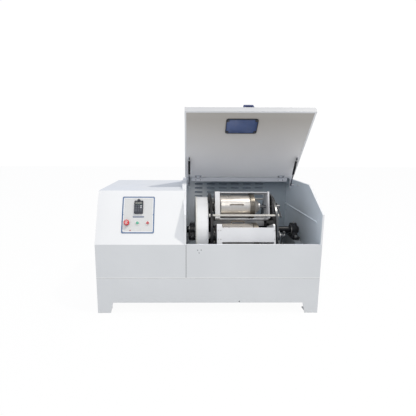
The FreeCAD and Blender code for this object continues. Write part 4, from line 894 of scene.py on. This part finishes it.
add_piece("drum_rivets", drum_rivets, "drum")
add_piece("drum_flange", drum_flange, "cream")
add_piece("drum_seam", drum_seam, "drum")


# Struts: collars at both ends of each tube and a clip on each rod, on the line between the studs

lid_stud = opened((0, hinge_y - 0.236, 0.848))
wall_stud = Vector((0, front + 0.660, 0.803))
strut_way = (wall_stud - lid_stud).normalized()
collar_profiles = ([(0.0043, 0.0128), (0.0062, 0.0128), (0.0093, 0.0146), (0.0094, 0.0180), (0.0091, 0.0190)],
                   [(0.0091, 0.1450), (0.0094, 0.1460), (0.0094, 0.1505), (0.0080, 0.1535), (0.0044, 0.1540)])
clip_profile = [(0.0041, 0.0070), (0.0060, 0.0075), (0.0062, 0.0150), (0.0052, 0.0180), (0.0041, 0.0185)]


def strut_collars(x):
    def make(bm):
        for profile in collar_profiles:
            lathe(bm, place(lid_stud + Vector((x, 0, 0)), strut_way, to_right), profile, 28)
    return make


for side, x in (("left", split + 0.020), ("right", wall_right - 0.020)):
    rod_end = place(wall_stud + Vector((x, 0, 0)), -strut_way, to_right)
    add_piece("strut_collars_" + side, strut_collars(x), "zinc", "tube_" + side)
    add_piece("strut_clip_" + side, many(lathe, [rod_end], profile=clip_profile, segments=24), "dark",
              "rod_" + side)


# Shaft bearings: grease nipples and seals

nipple_profile = [(0, -0.001), (0.0055, -0.001), (0.0055, 0.0035), (0.0030, 0.0045), (0.0030, 0.0075),
                  (0.0040, 0.0085), (0.0040, 0.0105), (0.0018, 0.0130), (0, 0.0132)]
seal_profile = [(0.0285, -0.0004), (0.0375, -0.0004), (0.0372, 0.0006), (0.0330, 0.0012), (0.0290, 0.0008),
                (0.0285, -0.0004)]
for number, x in ((1, split + 0.043), (2, split + 0.822)):
    nipple = place((x, axis_y, axis_z + 0.052), to_top, to_right)
    seals = [along_shaft(x - 0.0232, to_left), along_shaft(x + 0.0232)]
    add_piece("grease_nipple_%d" % number, many(lathe, [nipple], profile=nipple_profile, segments=16,
                                                hexagon=(1, 2)), "zinc")
    add_piece("bearing_seals_%d" % number, many(lathe, seals, profile=seal_profile, segments=40), "seal")


# Jar stations: band with its lug, weld beads, cage screws and thread turns

cage_turn = math.radians(180 - 18)
cage_start, cage_end = split + 0.212, split + 0.616
thread_start, thread_end, thread_pitch = split + 0.556, split + 0.5915, 0.003


def cage_way(number, way):
    """A direction on a cage's own axes: Y across its open side, Z along its height."""
    return Matrix.Rotation(cage_turn + math.radians(90 * (number - 1)), 3, "X") @ Vector(way)


def cage_point(number, x, y, z):
    return Vector((x, *planets[number - 1])) + cage_way(number, (0, y, z))


def cage_place(number, x, y, z, normal, across=to_right):
    return place(cage_point(number, x, y, z), cage_way(number, normal), cage_way(number, across))


def jar_line(number):
    """Frame on the jar's own axis, with heights along X."""
    return cage_place(number, 0, 0, 0, to_right, to_rear)


def jar_band(number):
    """Band round the jar's flange, with its lug and pin."""
    low, high = flange_start - 0.001, flange_end + 0.001
    middle = (low + high) / 2
    rim = 0.0909
    profile = [(0.0856, low), (rim, low), (rim + 0.0022, low + 0.0012), (rim + 0.0026, low + 0.004),
               (rim + 0.0012, middle), (rim + 0.0026, high - 0.004), (rim + 0.0022, high - 0.0012),
               (rim, high), (0.0800, high)]

    def make(bm):
        lathe(bm, jar_line(number), profile, 72)
        slab(bm, cage_place(number, middle, 0.0925, 0, to_rear), 0.026, 0.020, top=0.008, corner=0.003,
             soft=0.001, bottom=-0.001)
        tube(bm, [cage_point(number, middle, 0.0968, z) for z in (-0.017, 0.017)], 0.0030)
    return make


def jar_beads(number):
    """Weld beads at the feet of the grips and round both ends of the jar."""
    def make(bm):
        for x in (jar_grip_middle - 0.046, jar_grip_middle + 0.046):
            for side in (1, -1):
                lathe(bm, cage_place(number, x, side * 0.0842, 0, (0, side, 0)),
                      [(0.0062, 0.0002), (0.0060, 0.0012), (0.0048, 0.0022), (0.0036, 0.0036)], 18)
        for x in (jar_start + 0.012, jar_start + 0.219):
            lathe(bm, jar_line(number), [(0.0849, x - 0.0016), (0.0856, x - 0.0008), (0.0858, x),
                                         (0.0856, x + 0.0008), (0.0849, x + 0.0016)], 72)
    return make


def thread_turns(number):
    """Thread on the part of the screw between the pad and the cage's end plate."""
    profile = [(0.0119, thread_start)]
    for k in range(int((thread_end - thread_start) / thread_pitch)):
        turn = thread_start + k * thread_pitch
        profile += [(0.0119, turn + 0.0003), (0.01245, turn + 0.0015), (0.0119, turn + 0.0027)]
    return many(lathe, [jar_line(number)], profile=profile, segments=28)


for number in stations:
    body = "cage_%d" % number
    screw_places = [cage_place(number, x, y, side * 0.1035, (0, 0, side))
                    for side in (-1, 1) for y in (-0.030, 0.030)
                    for x in (cage_start + 0.009, cage_start + 0.027, cage_end - 0.006)]
    add_piece("jar_band_%d" % number, jar_band(number), "band", body)
    add_piece("jar_beads_%d" % number, jar_beads(number), "jar", body)
    add_screws("cage_screws_%d" % number, screw_places, 0.0042, "zinc", body)
    add_piece("screw_thread_%d" % number, thread_turns(number), "clamp",
              "screw_%d" % number)


# Carrier: locking rings round the shaft at both hubs

def lock_ring(x, way):
    def make(bm):
        matrix = along_shaft(x, way)
        lathe(bm, matrix, [(0.0282, seat), (0.0440, seat), (0.0440, 0.0030), (0.0425, 0.0042),
                           (0.0300, 0.0042), (0.0282, 0.0030), (0.0282, seat)], 48)
        for k in range(6):
            point = matrix @ Vector((*polar(0.0362, 60 * k + 15), 0.0041))
            screw(bm, place(point, way, to_rear), 0.0038)
    return make


add_piece("hub_ring_left", lock_ring(split + 0.196, to_right), "shaft", "carrier")
add_piece("hub_ring_right", lock_ring(split + 0.614, to_left), "shaft", "carrier")


# Drive box: fan grille and blank plate of the motor, and the inverter's face

motor_low, motor_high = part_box("motor")
inverter_low, inverter_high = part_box("inverter")
motor_z = 0.222
wire = 0.0016


def grille(bm):
    """Five rings and six spokes over the fan cowl."""
    for radius in (0.026, 0.040, 0.054, 0.068, 0.082):
        ring = [polar(radius, 7.5 * k) for k in range(48)]
        tube(bm, [(motor_low.x - 0.0006, axis_y + y, motor_z + z) for y, z in ring], wire, 8, True)
    for k in range(6):
        spoke = [polar(radius, 60 * k) for radius in (0.012, 0.088)]
        tube(bm, [(motor_low.x - 0.0010, axis_y + y, motor_z + z) for y, z in spoke], wire, 8)


def motor_plate(bm):
    middle = ((motor_low.x + motor_high.x) / 2, axis_y, motor_z + 0.1372)
    slab(bm, place(middle, to_top, to_right), 0.060, 0.036, top=0.0008)


def inverter_face(bm):
    """Raised cover over nine cooling ribs."""
    x, y = (inverter_low.x + inverter_high.x) / 2, inverter_low.y
    cover = place((x, y, inverter_high.z - 0.045), to_front, to_right)
    slab(bm, cover, 0.110, 0.060, top=0.0030, corner=0.004, soft=0.001)
    for k in range(9):
        rib = place((x, y, inverter_low.z + 0.020 + k * 0.012), to_front, to_right)
        slab(bm, rib, 0.120, 0.0045, top=0.0022, soft=0.0006)


add_piece("motor_grille", grille, "zinc")
add_piece("motor_blank_plate", motor_plate, "zinc")
add_piece("inverter_cover", inverter_face, "key")


# Floor and light

def camera_sees(tree, seen, otherwise):
    """One shader for what the camera sees itself, and one for all other light."""
    both = node(tree, "ShaderNodeMixShader")
    link(tree, node(tree, "ShaderNodeLightPath").outputs["Is Camera Ray"], both.inputs[0])
    link(tree, otherwise, both.inputs[1])
    link(tree, seen, both.inputs[2])
    return both.outputs[0]


def pale_floor(glow_share, bounce):
    """Floor that is nearly white to the camera, with a faint contact shadow, and bounces less light."""
    tree = finishes["floor"].node_tree
    glow = node(tree, "ShaderNodeEmission")
    glow.inputs["Strength"].default_value = 1.0
    seen = node(tree, "ShaderNodeMixShader")
    seen.inputs[0].default_value = glow_share
    link(tree, tree.nodes["Principled BSDF"].outputs[0], seen.inputs[1])
    link(tree, glow.outputs[0], seen.inputs[2])
    dim = node(tree, "ShaderNodeBsdfDiffuse")
    dim.inputs["Color"].default_value = (bounce, bounce, bounce, 1.0)
    surface = tree.nodes["Material Output"].inputs["Surface"]
    link(tree, camera_sees(tree, seen.outputs[0], dim.outputs[0]), surface)


def studio_world():
    """Soft cool sky light, with a white backdrop for the camera."""
    world = bpy.data.worlds.new("studio")
    bpy.context.scene.world = world
    world.use_nodes = True
    tree = world.node_tree
    sky = tree.nodes["Background"]
    sky.inputs["Color"].default_value = (0.90, 0.955, 1.06, 1.0)
    sky.inputs["Strength"].default_value = 0.63
    backdrop = node(tree, "ShaderNodeBackground")
    backdrop.inputs["Color"].default_value = (1.0, 1.0, 1.0, 1.0)
    backdrop.inputs["Strength"].default_value = 1.02
    surface = tree.nodes["World Output"].inputs["Surface"]
    link(tree, camera_sees(tree, backdrop.outputs[0], sky.outputs[0]), surface)


def area_light(name, origin, target, size, energy, colour):
    data = bpy.data.lights.new(name, "AREA")
    data.shape = "SQUARE"
    data.size = size
    data.energy = energy
    data.color = colour
    lamp = bpy.data.objects.new(name, data)
    bpy.context.scene.collection.objects.link(lamp)
    lamp.location = origin
    lamp.rotation_euler = (Vector(target) - Vector(origin)).to_track_quat("-Z", "Y").to_euler()


pale_floor(0.96, 0.70)
bpy.ops.mesh.primitive_plane_add(size=30.0, location=(0, 0, 0))
floor = bpy.context.object
floor.name = "floor"
floor.data.materials.append(finishes["floor"])
studio_world()
area_light("key", (2.84, -1.43, 7.56), (0.0, 0.0, 0.72), 0.34, 290.0, (1.0, 0.94, 0.85))
area_light("fill", (-0.6, -3.6, 3.0), (0.0, 0.0, 0.7), 2.2, 40.0, (1.0, 0.955, 0.88))
bpy.context.scene.view_settings.view_transform = "Standard"
